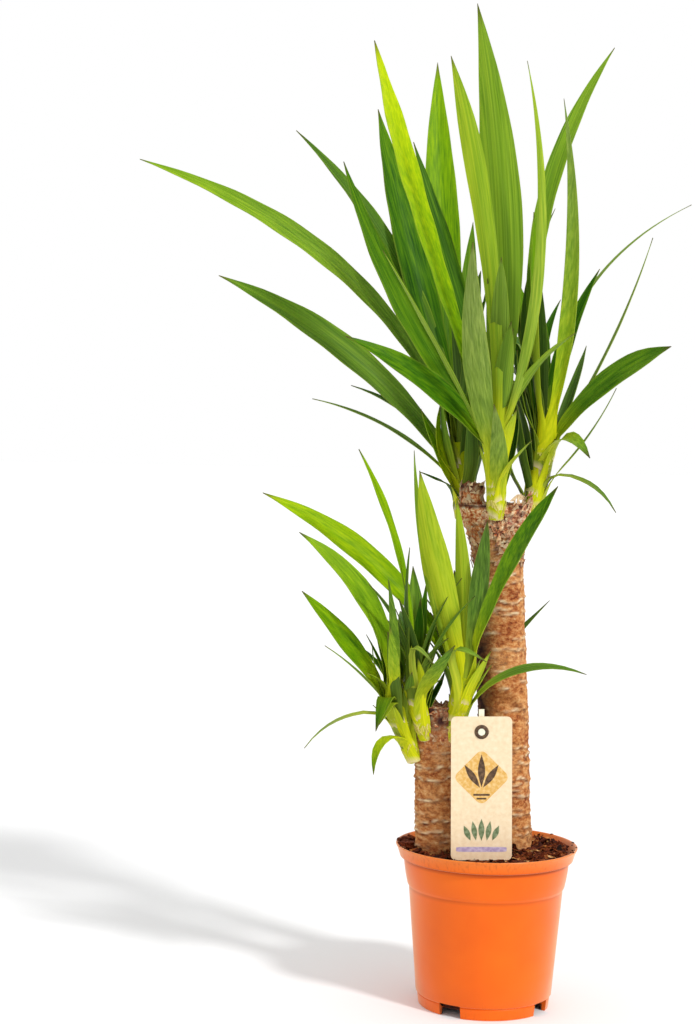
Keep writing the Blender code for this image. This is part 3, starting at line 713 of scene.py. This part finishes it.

# A row of flakes is: count, angles, how far below the top, how far they stand off, how pale.
# Painted shade darkens the side that the lower shoots shade, between two heights, to a depth.
canes = {
    "tallCane": {
        "node": "cane_tall", "foot": (23.5, 16, 85), "top": (3, 16, 468), "radius": 23.6,
        "head": (34, 29), "seed": 1, "steps": 128, "darkTop": 5, "shadeSide": (150, 300, 0.85),
        "flakes": [
            (300, (0, 6.28), (0, 58), 1.0, (0, 0.7)), (70, (-2.0, -1.25), (8, 30), 3.0, (0, 0.6)),
            (30, (-1.15, 0.2), (-8, 2), -5.0, (0.5, 0.9)), (60, (-0.6, 0.6), (-12, 8), 1.5, (0, 0.3)),
        ],
    },
    "tallCaneStub": {
        "node": None, "foot": (-18, 12, 452), "top": (-21, 9, 487), "radius": 10.8,
        "head": (10.8, 10.8), "seed": 9, "steps": 56, "darkTop": 8, "shadeSide": (0, 1, 0), "rough": 0.8,
        "flakes": [(60, (0, 6.28), (-1, 30), 1.0, (0, 0.9))],
    },
    "shortCane": {
        "node": "cane_short", "foot": (-46, -6, 85), "top": (-52, -8, 280), "radius": 19,
        "head": (19, 19), "seed": 2, "steps": 128, "darkTop": 34, "shadeSide": (0, 1, 0),
        "flakes": [(80, (0, 6.28), (-2, 30), 1.0, (0, 0.2))],
    },
}


def caneProfile(height):
    # (share of the radius, level): underside, side, then the rough cut top
    rows = max(4, round(height / caneForm["rowGap"]))
    points = [(0, 0), (0.6, 0), (1, 0)]
    points += [(1, height * i / rows) for i in range(1, rows)]
    points += [(1, height - 0.8), (0.96, height)]
    return points + [(share, height) for share in (0.88, 0.78, 0.66, 0.52, 0.38, 0.24, 0.1, 0)]


def scarMarks(height, dice):
    # the rings that fallen leaves left: most go only part of the way round, and few are level.
    # A mark is: height, lean, where it is strongest, how strong, how far round
    start, spacing, leans = caneForm["scarStart"], caneForm["scarSpacing"], caneForm["scarLean"]
    marks = []
    for i in range(round((height - start) / spacing)):
        level = start + spacing * (i + dice.uniform(0.3, 0.7))
        phase = dice.uniform(0, tau)
        marks.append((level, dice.uniform(*leans), phase, 0.9, dice.uniform(1.1, 2.3)))
        low = level + dice.uniform(-4, 4)
        marks.append((low, dice.uniform(*leans), phase + pi, 0.8, dice.uniform(1, 1.9)))
        for _ in range(dice.choice((1, 2, 2))):
            high, lean, facing = level + dice.uniform(4, 13), dice.uniform(*leans), dice.uniform(0, tau)
            marks.append((high, lean, facing, dice.uniform(0.4, 0.8), dice.uniform(0.35, 1.1)))
    return marks


def swollen(cane, swell):
    return [cane["radius"] + (wide - cane["radius"]) * swell for wide in cane["head"]]


def barkShape(shape, cane, marks):
    # shapes a unit column into bark, and marks where it is scarred, cracked and dark, with painted shade
    # on one side
    scarLayer, darkLayer, fleckLayer = (shape.verts.layers.float.new(name) for name in caneForm["layers"])
    form, seed = caneForm, cane["seed"] * 40
    foot, top, height = ends(cane)
    flared = cane["head"][0] > cane["radius"]
    low, high, depth = cane["shadeSide"]
    for vert in shape.verts:
        share, level = hypot(vert.co.x, vert.co.y), vert.co.z
        angle = atan2(vert.co.y, vert.co.x)
        swell = max(0, (level - height + form["knuckle"]) / form["knuckle"]) ** 2
        radii = swollen(cane, swell)
        x, y = cos(angle) * radii[0], sin(angle) * radii[1]
        rough = min(1, swell * 1.6) if flared else cane.get("rough", swell)
        ridge = pale = crack = 0
        for at, lean, phase, strength, span in marks:
            if abs(level - at) > form["scarReach"]:
                continue
            off = abs((angle - phase + pi) % tau - pi)
            if off > span:
                continue
            fade = min(1, (span - off) / form["scarFade"]) * strength
            line = at + lean * sin(angle - phase)
            line += 3.4 * grain(x / 13, y / 13, at) + 0.8 * grain(x / 4, y / 4, at)
            above = (level - line) / form["scarWidth"]
            ridge = max(ridge, fade * exp(-above * above))
            patchy = 0.5 + 1.4 * grain(x / 6, y / 6, at + 9)
            pale = max(pale, fade * exp(-above * above * 0.8) * patchy)
            crack = max(crack, fade * exp(-((above + 2.0) / 1.1) ** 2))
        # wrinkles 7 mm wide and 3 mm high, fibres, broad lumps and the knobs of the head
        wrinkle = grain(x / 7 + seed, y / 7 + level / 11, level / 3.2)
        fibre = grain(x / 3 + seed, y / 3, level / 1.2)
        lump = grain(x / 15, y / 15 + seed, level / 17) * 1.1
        knob = abs(grain(x / 9 + seed, y / 9, level / 8)) + 0.5 * grain(x / 4, y / 4 + seed, level / 4)
        outward = form["scarHeight"] * (ridge - 0.6 * crack) + form["wrinkle"] * wrinkle
        outward += form["fibre"] * fibre + lump + form["knobble"] * rough * (knob - 0.15)
        outward += form["shoulder"] * swell * max(0, -cos(angle)) * flared
        vert[scarLayer] = clamp(pale * (1 - 0.7 * rough))
        near = clamp(1.7 - 1.7 * (height - level) / cane["darkTop"])
        deep = max(0, 0.6 * crack - wrinkle * 0.45 - 0.06)
        # painted shade: the side that the lower shoots shade is darkened in the bark's colour
        paintedShade = depth * ease(level, low - 40, low) * ease(level, high + 60, high)
        paintedShade *= ease(-cos(angle), 0.1, 0.9) * (0.9 + 0.7 * grain(x / 7, y / 7 + seed, level / 9))
        near *= 0.8 + 0.6 * grain(x / 8, y / 8 + seed, level / 8)
        vert[darkLayer] = min(1, max(deep, paintedShade, near))
        vert[fleckLayer] = rough
        lift, x, y = 0, x * share, y * share
        if share < 0.97:
            # the cut top is torn
            lift = 3.0 * grain(x / 5 + seed, y / 5, 3) + 1.5 * grain(x / 2, y / 2, 7)
            vert[darkLayer] = 0.3 + 0.6 * abs(grain(x / 4, y / 4, seed))
        skin = ray(angle) * outward * min(1, share)
        vert.co = foot.lerp(top, level / height) + Vector((x, y, lift)) + skin


def addFlakes(shape, cane):
    # short curls of loose bark round the head of the cane
    scarLayer, darkLayer, fleckLayer = (shape.verts.layers.float[name] for name in caneForm["layers"])
    foot, top, height = ends(cane)
    dice = random.Random(cane["seed"] * 3 + 1)
    faces = []
    for count, angles, drops, stand, cream in cane["flakes"]:
        for _ in range(count):
            angle, drop = dice.uniform(*angles), drops[0] + (drops[1] - drops[0]) * dice.random() ** 1.3
            radii = swollen(cane, clamp(1 - drop / caneForm["knuckle"]) ** 2)
            out = ray(angle)
            tangent = up.cross(out)
            centre = foot.lerp(top, 1 - drop / height)
            centre += Vector((out.x * radii[0], out.y * radii[1], 0))
            wide, tall, lean, skew = (dice.uniform(*span) for span in caneForm["flake"])
            scar, dark = dice.uniform(*cream), dice.uniform(0, 0.8) ** 1.5
            dark *= 1 - 0.8 * (cream[0] > 0)
            made = bmesh.ops.create_grid(shape, x_segments=2, y_segments=3, size=0.5)["verts"]
            for vert in made:
                across, rise = vert.co.x * wide * (1 - 1.4 * vert.co.y), vert.co.y * tall
                curl = lean * (vert.co.y + 0.5) ** 2 * tall * 0.5 - across * across * 0.04
                vert.co = centre + tangent * (across + skew * rise) + up * rise + out * (curl + stand)
                vert[scarLayer], vert[darkLayer], vert[fleckLayer] = scar, dark, 1
            faces += {face for vert in made for face in vert.link_faces}
    bmesh.ops.solidify(shape, geom=faces, thickness=caneForm["flakeThickness"])


def barkMaterial():
    # Yucca bark: dry corky fibre in warm tan, with pale raised leaf scars and dark cracks between them
    material, shader, add = newMaterial("corkyYuccaBark", {
        "Roughness": 0.9, "IOR": 1.45, "Specular IOR Level": 0.25,
    })
    scar, dark, fleck = (
        add("Attribute", out="Fac", attribute_name=name) for name in caneForm["layers"]
    )
    where = add("TexCoord", out="Object")
    # crumbs of cork, some 5 mm wide and 3 mm high, so the pattern is squeezed in height, then broad
    # patches, and the crumbs of 3 to 5 mm that speckle the rough head red-brown and cream
    lying = add("Mapping", {"Vector": where, "Scale": (190, 190, 300)})
    fibre, broad, crumbs = (
        add("TexNoise", {"Vector": at, "Scale": scale, "Detail": detail, "Roughness": rough})
        for at, scale, detail, rough in ((lying, 1, 5, 0.68), (where, 38, 3, 0.5), (where, 260, 3, 0.7))
    )
    coat, warm, speckle = (
        add("ValToRGB", [pattern], stops=caneForm[name])
        for name, pattern in (("tan", fibre), ("warm", broad), ("speckle", crumbs))
    )
    mauve = add("MapRange", [broad, 0.54, 0.66, 0, 0.4])
    patched = layered(add, speckle, [(mauve, caneForm["mauve"])])
    # the dark layer takes the crack colour, which also paints the shade on one side of the trunk
    coat = layered(add, coat, [
        (0.35, warm), (fleck, patched), (scar, caneForm["scar"]), (dark, caneForm["crack"]),
    ])
    bump = add("Bump", {"Height": fibre, "Strength": 0.9, "Distance": 0.0014})
    grit = add("Bump", {"Height": crumbs, "Strength": 0.5, "Distance": 0.001, "Normal": bump})
    setInputs(shader, {"Base Color": coat, "Normal": grit})
    return material


def buildCanes():
    bark = barkMaterial()
    for name, cane in canes.items():
        height = ends(cane)[2]
        shape = turned(caneProfile(height), cane["steps"])
        barkShape(shape, cane, scarMarks(height, random.Random(cane["seed"])))
        addFlakes(shape, cane)
        piece = finishPiece(name, shape, bark, cane["node"], 75)
        print(name, len(piece.data.polygons), "faces")


# Pot and mulch
pot = {
    "steps": 160,
    "sharp": 40,
    # radius and height, from the middle of the underside round the outside and down the inside
    "profile": [
        (0, 0), (28, 0), (29.4, 2), (31, 5), (55.5, 5), (57, 0.8), (57.6, 0), (60.2, 0), (60.9, 0.6),
        (61.6, 6), (62, 9.8), (61.5, 10.5), (61.6, 11.2), (63, 11.7), (63.5, 12.4), (65.6, 37), (67.8, 62),
        (70, 87), (71.9, 109.4), (72.2, 110.8), (73.2, 112.2), (73.7, 113.6), (75.2, 121), (76.4, 129),
        (77.1, 135), (77.1, 138.4), (77.7, 139.6), (78.8, 139.6), (79.3, 138.6), (80, 137.9),
        (80.8, 138.3), (81.2, 139.4), (82.1, 142.6), (83.3, 146), (84.4, 148.2), (84.9, 149.2),
        (84.6, 149.8), (84, 150), (83.3, 149.8), (82.7, 149.1), (81.2, 146), (79.2, 142), (77.2, 138),
        (73.8, 125), (70.2, 112), (66.1, 62), (61.7, 11), (56.5, 6.8), (29.2, 6.8), (26.2, 1.8), (0, 1.8),
    ],
    "drains": 8,
    "drainRadius": 4.5,
    "drainCircle": 42.75,
    "notches": 4,
    "notchWidth": 22,
    "notchHeight": 12,
    "firstNotch": 236,
    "notchRound": 1.2,
    "cutDepth": 20,
    "plastic": [(0.3, "#E25E04"), (0.5, "#E86405"), (0.7, "#EC6A07")],
    # the top of the lip is paler and yellower
    "lipTopTint": "#E28636",
    # dried compost streaks, and also the painted shadow under the lip and the collar
    "dirtAndShade": "#A23C0C",
    # painted shade for the dark hollow under the pot
    "hollowShade": "#2A0E04",
    # bands of height in metres: where each starts, where it is full, and how strong it is there
    "bands": {
        "lipTop": (0.139, 0.15, 0.55), "lip": (0.1365, 0.1385, 0.4), "foot": (0.022, 0.002, 0.3),
        "underLipShade": (0.1335, 0.137, 0.75), "underLipShadeTop": (0.1394, 0.138, 1),
        "collar": (0.1065, 0.1098, 0.4), "collarTop": (0.1109, 0.1101, 1),
        "underside": (0.0066, 0.0058, 1),
    },
}


def plasticMaterial():
    # Moulded polypropylene: satin, evenly coloured right through, with a faint moulding grain
    material, shader, add = newMaterial("mouldedPolypropylene", {
        "IOR": 1.49, "Specular IOR Level": 0.2, "Subsurface Weight": 0.05, "Subsurface Scale": 0.002,
        "Sheen Weight": 0.85, "Sheen Roughness": 0.4, "Sheen Tint": "#FFE0BC",
    })
    where = add("TexCoord", out="Object")
    x, y, z = add("SeparateXYZ", [where], None)
    band = {
        name: add("MapRange", [z, start, full, 0, most])
        for name, (start, full, most) in pot["bands"].items()
    }
    streakAt = add("Mapping", {"Vector": where, "Scale": (520, 520, 130)})
    cloud, streaks, scuff, peel = (
        add("TexNoise", {"Vector": at, "Scale": scale, "Detail": detail})
        for at, scale, detail in ((where, 14, 3), (streakAt, 1, 3), (where, 90, 4), (where, 900, 1))
    )
    # streaked with dried compost on the lip and low down
    zones = add("Math", [band["lip"], band["foot"]], operation="ADD")
    thin = add("MapRange", [streaks, 0.5, 0.78])
    dirtAndShade = add("Math", [zones, thin], operation="MULTIPLY", use_clamp=True)
    # painted shadow darkens the groove under the lip, and a thin painted shadow line lies under the collar
    underLipShade = add("Math", [band["underLipShade"], band["underLipShadeTop"]], operation="MULTIPLY", use_clamp=True)
    line = add("Math", [band["collar"], band["collarTop"]], operation="MULTIPLY")
    for other in (underLipShade, line):
        dirtAndShade = add("Math", [dirtAndShade, other], operation="MAXIMUM")
    # and the hollow under the pot is painted near black, a painted shade for its dark inside
    flat = add("CombineXYZ", [x, y])
    out = add("VectorMath", [flat], "Value", operation="LENGTH")
    within = add("MapRange", [out, 0.0578, 0.0572, 0, 0.9])
    hollowShade = add("Math", [within, band["underside"]], operation="MULTIPLY")
    coat = add("ValToRGB", [cloud], stops=pot["plastic"])
    setInputs(shader, {
        "Base Color": layered(add, coat, [
            (band["lipTop"], pot["lipTopTint"]), (dirtAndShade, pot["dirtAndShade"]), (hollowShade, pot["hollowShade"]),
        ]),
        "Roughness": add("MapRange", [scuff, 0, 1, 0.3, 0.5]),
        "Normal": add("Bump", {"Height": peel, "Strength": 0.12, "Distance": 0.0003}),
    })
    return material


def cutAway(piece, shapes):
    group = bpy.data.collections.new("cutters")
    bpy.context.scene.collection.children.link(group)
    for shape in shapes:
        bmesh.ops.scale(shape, vec=(mm, mm, mm), verts=shape.verts)
        newObject("cutter", shape, collection=group)
    cut = piece.modifiers.new("cut", "BOOLEAN")
    cut.operation = "DIFFERENCE"
    cut.operand_type = "COLLECTION"
    cut.collection = group
    cut.solver = "EXACT"
    graph = bpy.context.evaluated_depsgraph_get()
    finished = bpy.data.meshes.new_from_object(piece.evaluated_get(graph))
    piece.modifiers.clear()
    piece.data = finished
    for cutter in list(group.objects):
        bpy.data.objects.remove(cutter, do_unlink=True)
    bpy.data.collections.remove(group)


def buildPot():
    shape = turned(pot["profile"], pot["steps"])
    piece = finishPiece("orangePot", shape, plasticMaterial(), "pot", pot["sharp"])
    cutters = []
    for i in range(pot["drains"]):
        shape = bmesh.new()
        turn = Matrix.Rotation(tau * (i + 0.5) / pot["drains"], 4, "Z")
        bmesh.ops.create_cone(
            shape, cap_ends=True, segments=32, radius1=pot["drainRadius"], radius2=pot["drainRadius"],
            depth=pot["cutDepth"], matrix=turn @ Matrix.Translation((pot["drainCircle"], 0, 5)),
        )
        cutters.append(shape)
    for i in range(pot["notches"]):
        shape = bmesh.new()
        turn = Matrix.Rotation(radians(pot["firstNotch"]) + tau * i / pot["notches"], 4, "Z")
        size = Matrix.Diagonal((pot["cutDepth"], pot["notchWidth"], pot["notchHeight"] + 5, 1))
        place = Matrix.Translation((61, 0, (pot["notchHeight"] - 5) / 2))
        bmesh.ops.create_cube(shape, size=1, matrix=turn @ place @ size)
        bmesh.ops.bevel(
            shape, geom=shape.edges, offset=pot["notchRound"], segments=3, profile=0.5, affect="EDGES",
            material=-1,
        )
        cutters.append(shape)
    cutAway(piece, cutters)
    smoothFaces(piece.data, pot["sharp"])
    print("pot", len(piece.data.polygons), "faces")


mulch = {
    "edge": 139,
    "mound": 7,
    "lump": 1.6,
    "outer": 75.4,
    "wall": 75,
    "rim": (143, 4),  # above this level chips may lie this far over the wall
    "banked": 5.5,  # how much higher it lies against the rim at the back and sides
    "bed": [(0, 7.2), (56, 7.2), (61, 17), (69.9, 112)],  # radius and height inside the pot
    "rings": 24,
    "steps": 96,
    "chips": 1050,
    "crumbs": 900,
    "crumbSize": 0.4,
    "length": (5, 18),
    "width": (2.2, 6),
    "thick": (1, 2.4),
    "reach": 74,
    "seed": 12,
    "clear": [(20.6, 16, 26), (-47.7, -6.6, 21)],  # x, y and radius round the canes
    "cardFront": (-45, 27, -44),  # left, right and back of the strip where only low, flat chips lie
    "lowSize": 0.55,
    "lowLift": (-1.2, 0.3),
    "lift": (-0.6, 2.2),
    "lowTilt": 0.12,
    "tilt": 0.36,
    "tone": (0.46, 0.2),
    "spilled": 90,  # crumbs left on the lip and stuck to the wall above the mulch
    "spilledSize": [(1.2, 3.4), (0.8, 1.8), (0.6, 1.2)],
    "ledges": ((82.4, 147.8), (83.6, 150.2), (80.6, 145.6), (79.6, 143.6), (81.6, 146.6)),
    "heap": [
        (-77, 2, 149, 11), (-79, -8, 150, 8), (-75, 10, 151, 9), (-72, -4, 149, 12), (-81, 4, 151.5, 6),
    ],
    "colours": [
        (0.0, "#180602"), (0.25, "#3C1508"), (0.5, "#6E3014"), (0.72, "#9A5426"), (0.88, "#C68848"),
        (1.0, "#DDB47C"),
    ],
}


def mulchHeight(x, y):
    out = min(1, hypot(x, y) / mulch["wall"])
    lumps = sin(x / 6.1 + 1.3) * cos(y / 5.3) + sin((x + y) / 9.7)
    level = mulch["edge"] + mulch["mound"] * (1 - out ** 2) + mulch["lump"] * lumps * (1 - out ** 6) / 2
    # a low bank round the stake
    level += 2.4 * exp(-((x - label["place"][0]) / 34) ** 4 - ((y - label["place"][1]) / 11) ** 2)
    return level + mulch["banked"] * ease(y, -58, 0) * ease(out, 0.62, 0.98)


def mulchMaterial():
    # Composted pine bark: damp, fibrous and dark, with a few dry tan splinters
    material, shader, add = newMaterial("compostedPineBark", {
        "Roughness": 0.85, "IOR": 1.45, "Specular IOR Level": 0.2,
    })
    tone = add("Attribute", out="Fac", attribute_name="chipTone")
    where = add("TexCoord", out="Object")
    fibre = add("TexNoise", {"Vector": where, "Scale": 420, "Detail": 4})
    spread = add("MapRange", [fibre, 0.3, 0.7, -0.16, 0.16])
    shade = add("Math", [tone, spread], operation="ADD", use_clamp=True)
    setInputs(shader, {
        "Base Color": add("ValToRGB", [shade], stops=mulch["colours"]),
        "Normal": add("Bump", {"Height": fibre, "Strength": 0.7, "Distance": 0.0008}),
    })
    return material


def chipForm(shape, cuts):
    # a small block to copy for every chip
    made = bmesh.ops.create_cube(shape, size=1)["verts"]
    if cuts:
        edges = list({edge for vert in made for edge in vert.link_edges})
        bmesh.ops.subdivide_edges(shape, edges=edges, cuts=cuts, use_grid_fill=True)
    return shape.verts[:] + shape.edges[:] + shape.faces[:]


def addChip(shape, layer, form, place, size, tone, dice):
    for vert in onlyVerts(bmesh.ops.duplicate(shape, geom=form)["geom"]):
        vert[layer] = tone
        pinch = 1 - 0.4 * (2 * abs(vert.co.x)) ** 2
        local = Vector((vert.co.x, vert.co.y * pinch, vert.co.z * pinch))
        local += Vector([dice.uniform(-0.15, 0.15) for _ in range(3)])
        vert.co = place @ Vector((local.x * size[0], local.y * size[1], local.z * size[2]))


def turnedAbout(dice, axis="Z", spread=None):
    # a chance turn, all the way round or about as much as spread
    return Matrix.Rotation(dice.uniform(0, tau) if spread is None else dice.gauss(0, spread), 4, axis)


def buildMulch():
    dice = random.Random(mulch["seed"])
    (left, right, front), (rim, over) = mulch["cardFront"], mulch["rim"]
    chips = bmesh.new()
    layer = chips.verts.layers.float.new("chipTone")
    split = chipForm(chips, 1)
    plain = [part for part in chipForm(chips, 0) if part not in set(split)]
    made = 0
    while made < mulch["chips"] + mulch["crumbs"]:
        crumb = made >= mulch["chips"]
        out, angle = mulch["reach"] * sqrt(dice.random()), dice.uniform(0, tau)
        x, y = out * cos(angle), out * sin(angle)
        share = mulch["crumbSize"] if crumb else 1
        size = [dice.uniform(*mulch[key]) * share for key in ("length", "width", "thick")]
        if any(hypot(x - cx, y - cy) < radius for cx, cy, radius in mulch["clear"]):
            continue
        low = left < x < right and y < front
        if low:
            size = [mulch["lowSize"] * length for length in size]
        level = mulchHeight(x, y)
        if out + size[0] * 0.5 > mulch["wall"] + over * (level > rim):
            continue
        lift = dice.uniform(*mulch["lowLift" if low else "lift"]) + (0 if low else ease(out, 60, 72))
        steep = mulch["lowTilt" if low else "tilt"]
        place = Matrix.Translation((x, y, level + lift)) @ turnedAbout(dice)
        place = place @ turnedAbout(dice, "Y", steep) @ turnedAbout(dice, "X", steep)
        tone = min(0.95, max(0, dice.gauss(*mulch["tone"])))
        addChip(chips, layer, plain if crumb else split, place, size, tone, dice)
        made += 1
    for _ in range(mulch["spilled"]):
        angle = dice.uniform(0, tau)
        out, height = dice.choice(mulch["ledges"])
        size = [dice.uniform(*span) for span in mulch["spilledSize"]]
        place = Matrix.Translation((out * cos(angle), out * sin(angle), height))
        place = place @ turnedAbout(dice) @ turnedAbout(dice, "X", 0.5)
        addChip(chips, layer, plain, place, size, dice.uniform(0.1, 0.5), dice)
    for x, y, height, length in mulch["heap"]:
        place = Matrix.Translation((x, y, height)) @ turnedAbout(dice)
        size = (length, 0.7 * length, 0.5 * length)
        addChip(chips, layer, split, place, size, dice.uniform(0.3, 0.5), dice)
    bmesh.ops.delete(chips, geom=onlyVerts(split + plain), context="VERTS")

    rings, edge = mulch["rings"], mulch["edge"]
    points = mulch["bed"] + [(mulch["outer"] * (rings - i) / rings, edge) for i in range(rings + 1)]
    bed = turned(points, mulch["steps"])
    layer = bed.verts.layers.float.new("chipTone")
    for vert in bed.verts:
        x, y = vert.co.x, vert.co.y
        if vert.co.z > edge - 1:
            vert.co.z = mulchHeight(x, y) - 1.2 + 1.6 * grain(x / 5, y / 5, 0)
        vert[layer] = 0.25 + 0.3 * grain(x / 4, y / 4, 5)
    mesh = bpy.data.meshes.new("bed")
    bed.to_mesh(mesh)
    bed.free()
    chips.from_mesh(mesh)
    bpy.data.meshes.remove(mesh)
    bmesh.ops.recalc_face_normals(chips, faces=chips.faces)
    piece = finishPiece("barkMulch", chips, mulchMaterial(), "soil", 35)
    print("mulch", len(piece.data.polygons), "faces")


# Label and stake
label = {
    "place": (-8.2, -50, 145),
    "lean": 1.2,
    "front": -50.4,
    "holeDrop": 14,
    "height": 131.5,
    "eyelet": [
        (3.3, 0), (6.4, 0), (6.5, 0.35), (6.1, 0.75), (5, 1.75), (4.3, 1.95), (3.6, 1.8), (3.2, 1.3),
    ],
    "card": [(0.3, "#E2CBA6"), (0.5, "#E8D3AF"), (0.7, "#ECDABA")],
    "stake": [(0.3, "#E6E2C8"), (0.7, "#F1EEDC")],
    # ink, its dark and light colour, how far it stands out, then motifs with kind, across, height,
    # size and turn
    "prints": {
        "ochrePrint": ("ochreInk", "#D6A653", "#EAC98C", 0.1, [("block", 0, 76, (37, 37), 45)]),
        "brownPrint": ("brownInk", "#453020", "#75593C", 0.2, [
            ("leaf", 0, 82, (6.5, 30), 0), ("leaf", -8.5, 77, (6, 25), 34),
            ("leaf", 8.5, 77, (6, 25), -34), ("block", 0, 60, (15, 1.8), 0),
            ("block", 0, 56.5, (9, 1.4), 0),
        ]),
        "greenPrint": ("greyGreenInk", "#5C6E48", "#8E9C78", 0.2, [
            ("leaf", -13, 25, (5, 15), 24), ("leaf", -6.5, 27, (5, 18), 10),
            ("leaf", 0, 28, (5.5, 20), 0), ("leaf", 6.5, 27, (5, 18), -10),
            ("leaf", 13, 25, (5, 15), -24),
        ]),
        "lavenderPrint": ("lavenderInk", "#A796BC", "#CFC2D6", 0.1, [("block", 0, 10, (46, 4.5), 0)]),
    },
}


def speckledMaterial(name, inputs, scale, detail, stops, bump=0):
    # an even material with a fine grain in its colour, and in its surface where bump is given
    material, shader, add = newMaterial(name, inputs)
    where = add("TexCoord", out="Object")
    fine = add("TexNoise", {"Vector": where, "Scale": scale, "Detail": detail})
    setInputs(shader, {"Base Color": add("ValToRGB", [fine], stops=stops)})
    if bump:
        raised = add("Bump", {"Height": fine, "Strength": bump, "Distance": 0.0003})
        setInputs(shader, {"Normal": raised})
    return material


def printShape(parts, raised):
    # flat motifs raised a hair from the card's face
    shape = bmesh.new()
    x0, _, z0 = label["place"]
    for kind, across, height, size, turn in parts:
        before = set(shape.verts)
        if kind == "block":
            corners = bmesh.ops.create_grid(shape, x_segments=1, y_segments=1, size=0.5)["verts"]
            bmesh.ops.bevel(
                shape, geom=corners, offset=0.16, segments=6, profile=0.5, affect="VERTICES", material=-1,
            )
        else:
            bmesh.ops.create_circle(shape, cap_ends=True, segments=48, radius=0.5)
        made = [vert for vert in shape.verts if vert not in before]
        if kind == "leaf":
            for vert in made:
                vert.co.x *= 1 - (2 * vert.co.y) ** 2 * 0.85
        stand = (
            Matrix.Translation((x0 + across, label["front"], z0 + height))
            @ Matrix.Rotation(radians(90), 4, "X")
            @ Matrix.Rotation(radians(turn), 4, "Z")
            @ Matrix.Diagonal((size[0], size[1], 1, 1))
        )
        bmesh.ops.transform(shape, matrix=stand, verts=made)
    lifted = bmesh.ops.extrude_face_region(shape, geom=shape.faces[:])["geom"]
    bmesh.ops.translate(shape, vec=(0, -raised, 0), verts=onlyVerts(lifted))
    bmesh.ops.recalc_face_normals(shape, faces=shape.faces)
    return shape


def leanLabel(shape):
    pivot = Matrix.Translation(label["place"])
    lean = pivot @ Matrix.Rotation(radians(-label["lean"]), 4, "Y") @ pivot.inverted()
    bmesh.ops.transform(shape, matrix=lean, verts=shape.verts)


def buildLabel():
    # Uncoated card: warm cream, with soft pulp fibres and a matte face
    matte = {"Roughness": 0.78, "IOR": 1.45}
    card = speckledMaterial("uncoatedCreamCard", matte, 260, 5, label["card"], 0.2)
    # Moulded polystyrene: smooth, off-white and a little glossy
    stake = speckledMaterial("offWhitePolystyrene", {
        "Roughness": 0.35, "IOR": 1.55, "Subsurface Weight": 0.1, "Subsurface Scale": 0.002,
    }, 60, 2, label["stake"])
    frame["nodes"]["card_label"].material_slots[0].material = card
    frame["nodes"]["label_stake"].material_slots[0].material = stake
    inks = {}
    for name, (ink, dark, light, raised, parts) in label["prints"].items():
        # Printing ink soaked into card, so it shows the pulp as small pale gaps
        shades = [(0.42, dark), (0.72, light)]
        inks[ink] = speckledMaterial(ink, {"Roughness": 0.7, "IOR": 1.45}, 320, 4, shades)
        shape = printShape(parts, raised)
        leanLabel(shape)
        finishPiece(name, shape, inks[ink])
    # a pressed eyelet lines the hole, round the head of the pin
    x, _, bottom = label["place"]
    shape = turned(label["eyelet"] + label["eyelet"][:1], 48)
    hole = Matrix.Translation((x, label["front"], bottom + label["height"] - label["holeDrop"]))
    bmesh.ops.transform(shape, matrix=hole @ Matrix.Rotation(radians(90), 4, "X"), verts=shape.verts)
    leanLabel(shape)
    finishPiece("labelEyelet", shape, inks["brownInk"])
    print("label: card, print, eyelet and stake")


buildStudio()
buildPot()
buildMulch()
buildCanes()
buildShoots()
buildLabel()
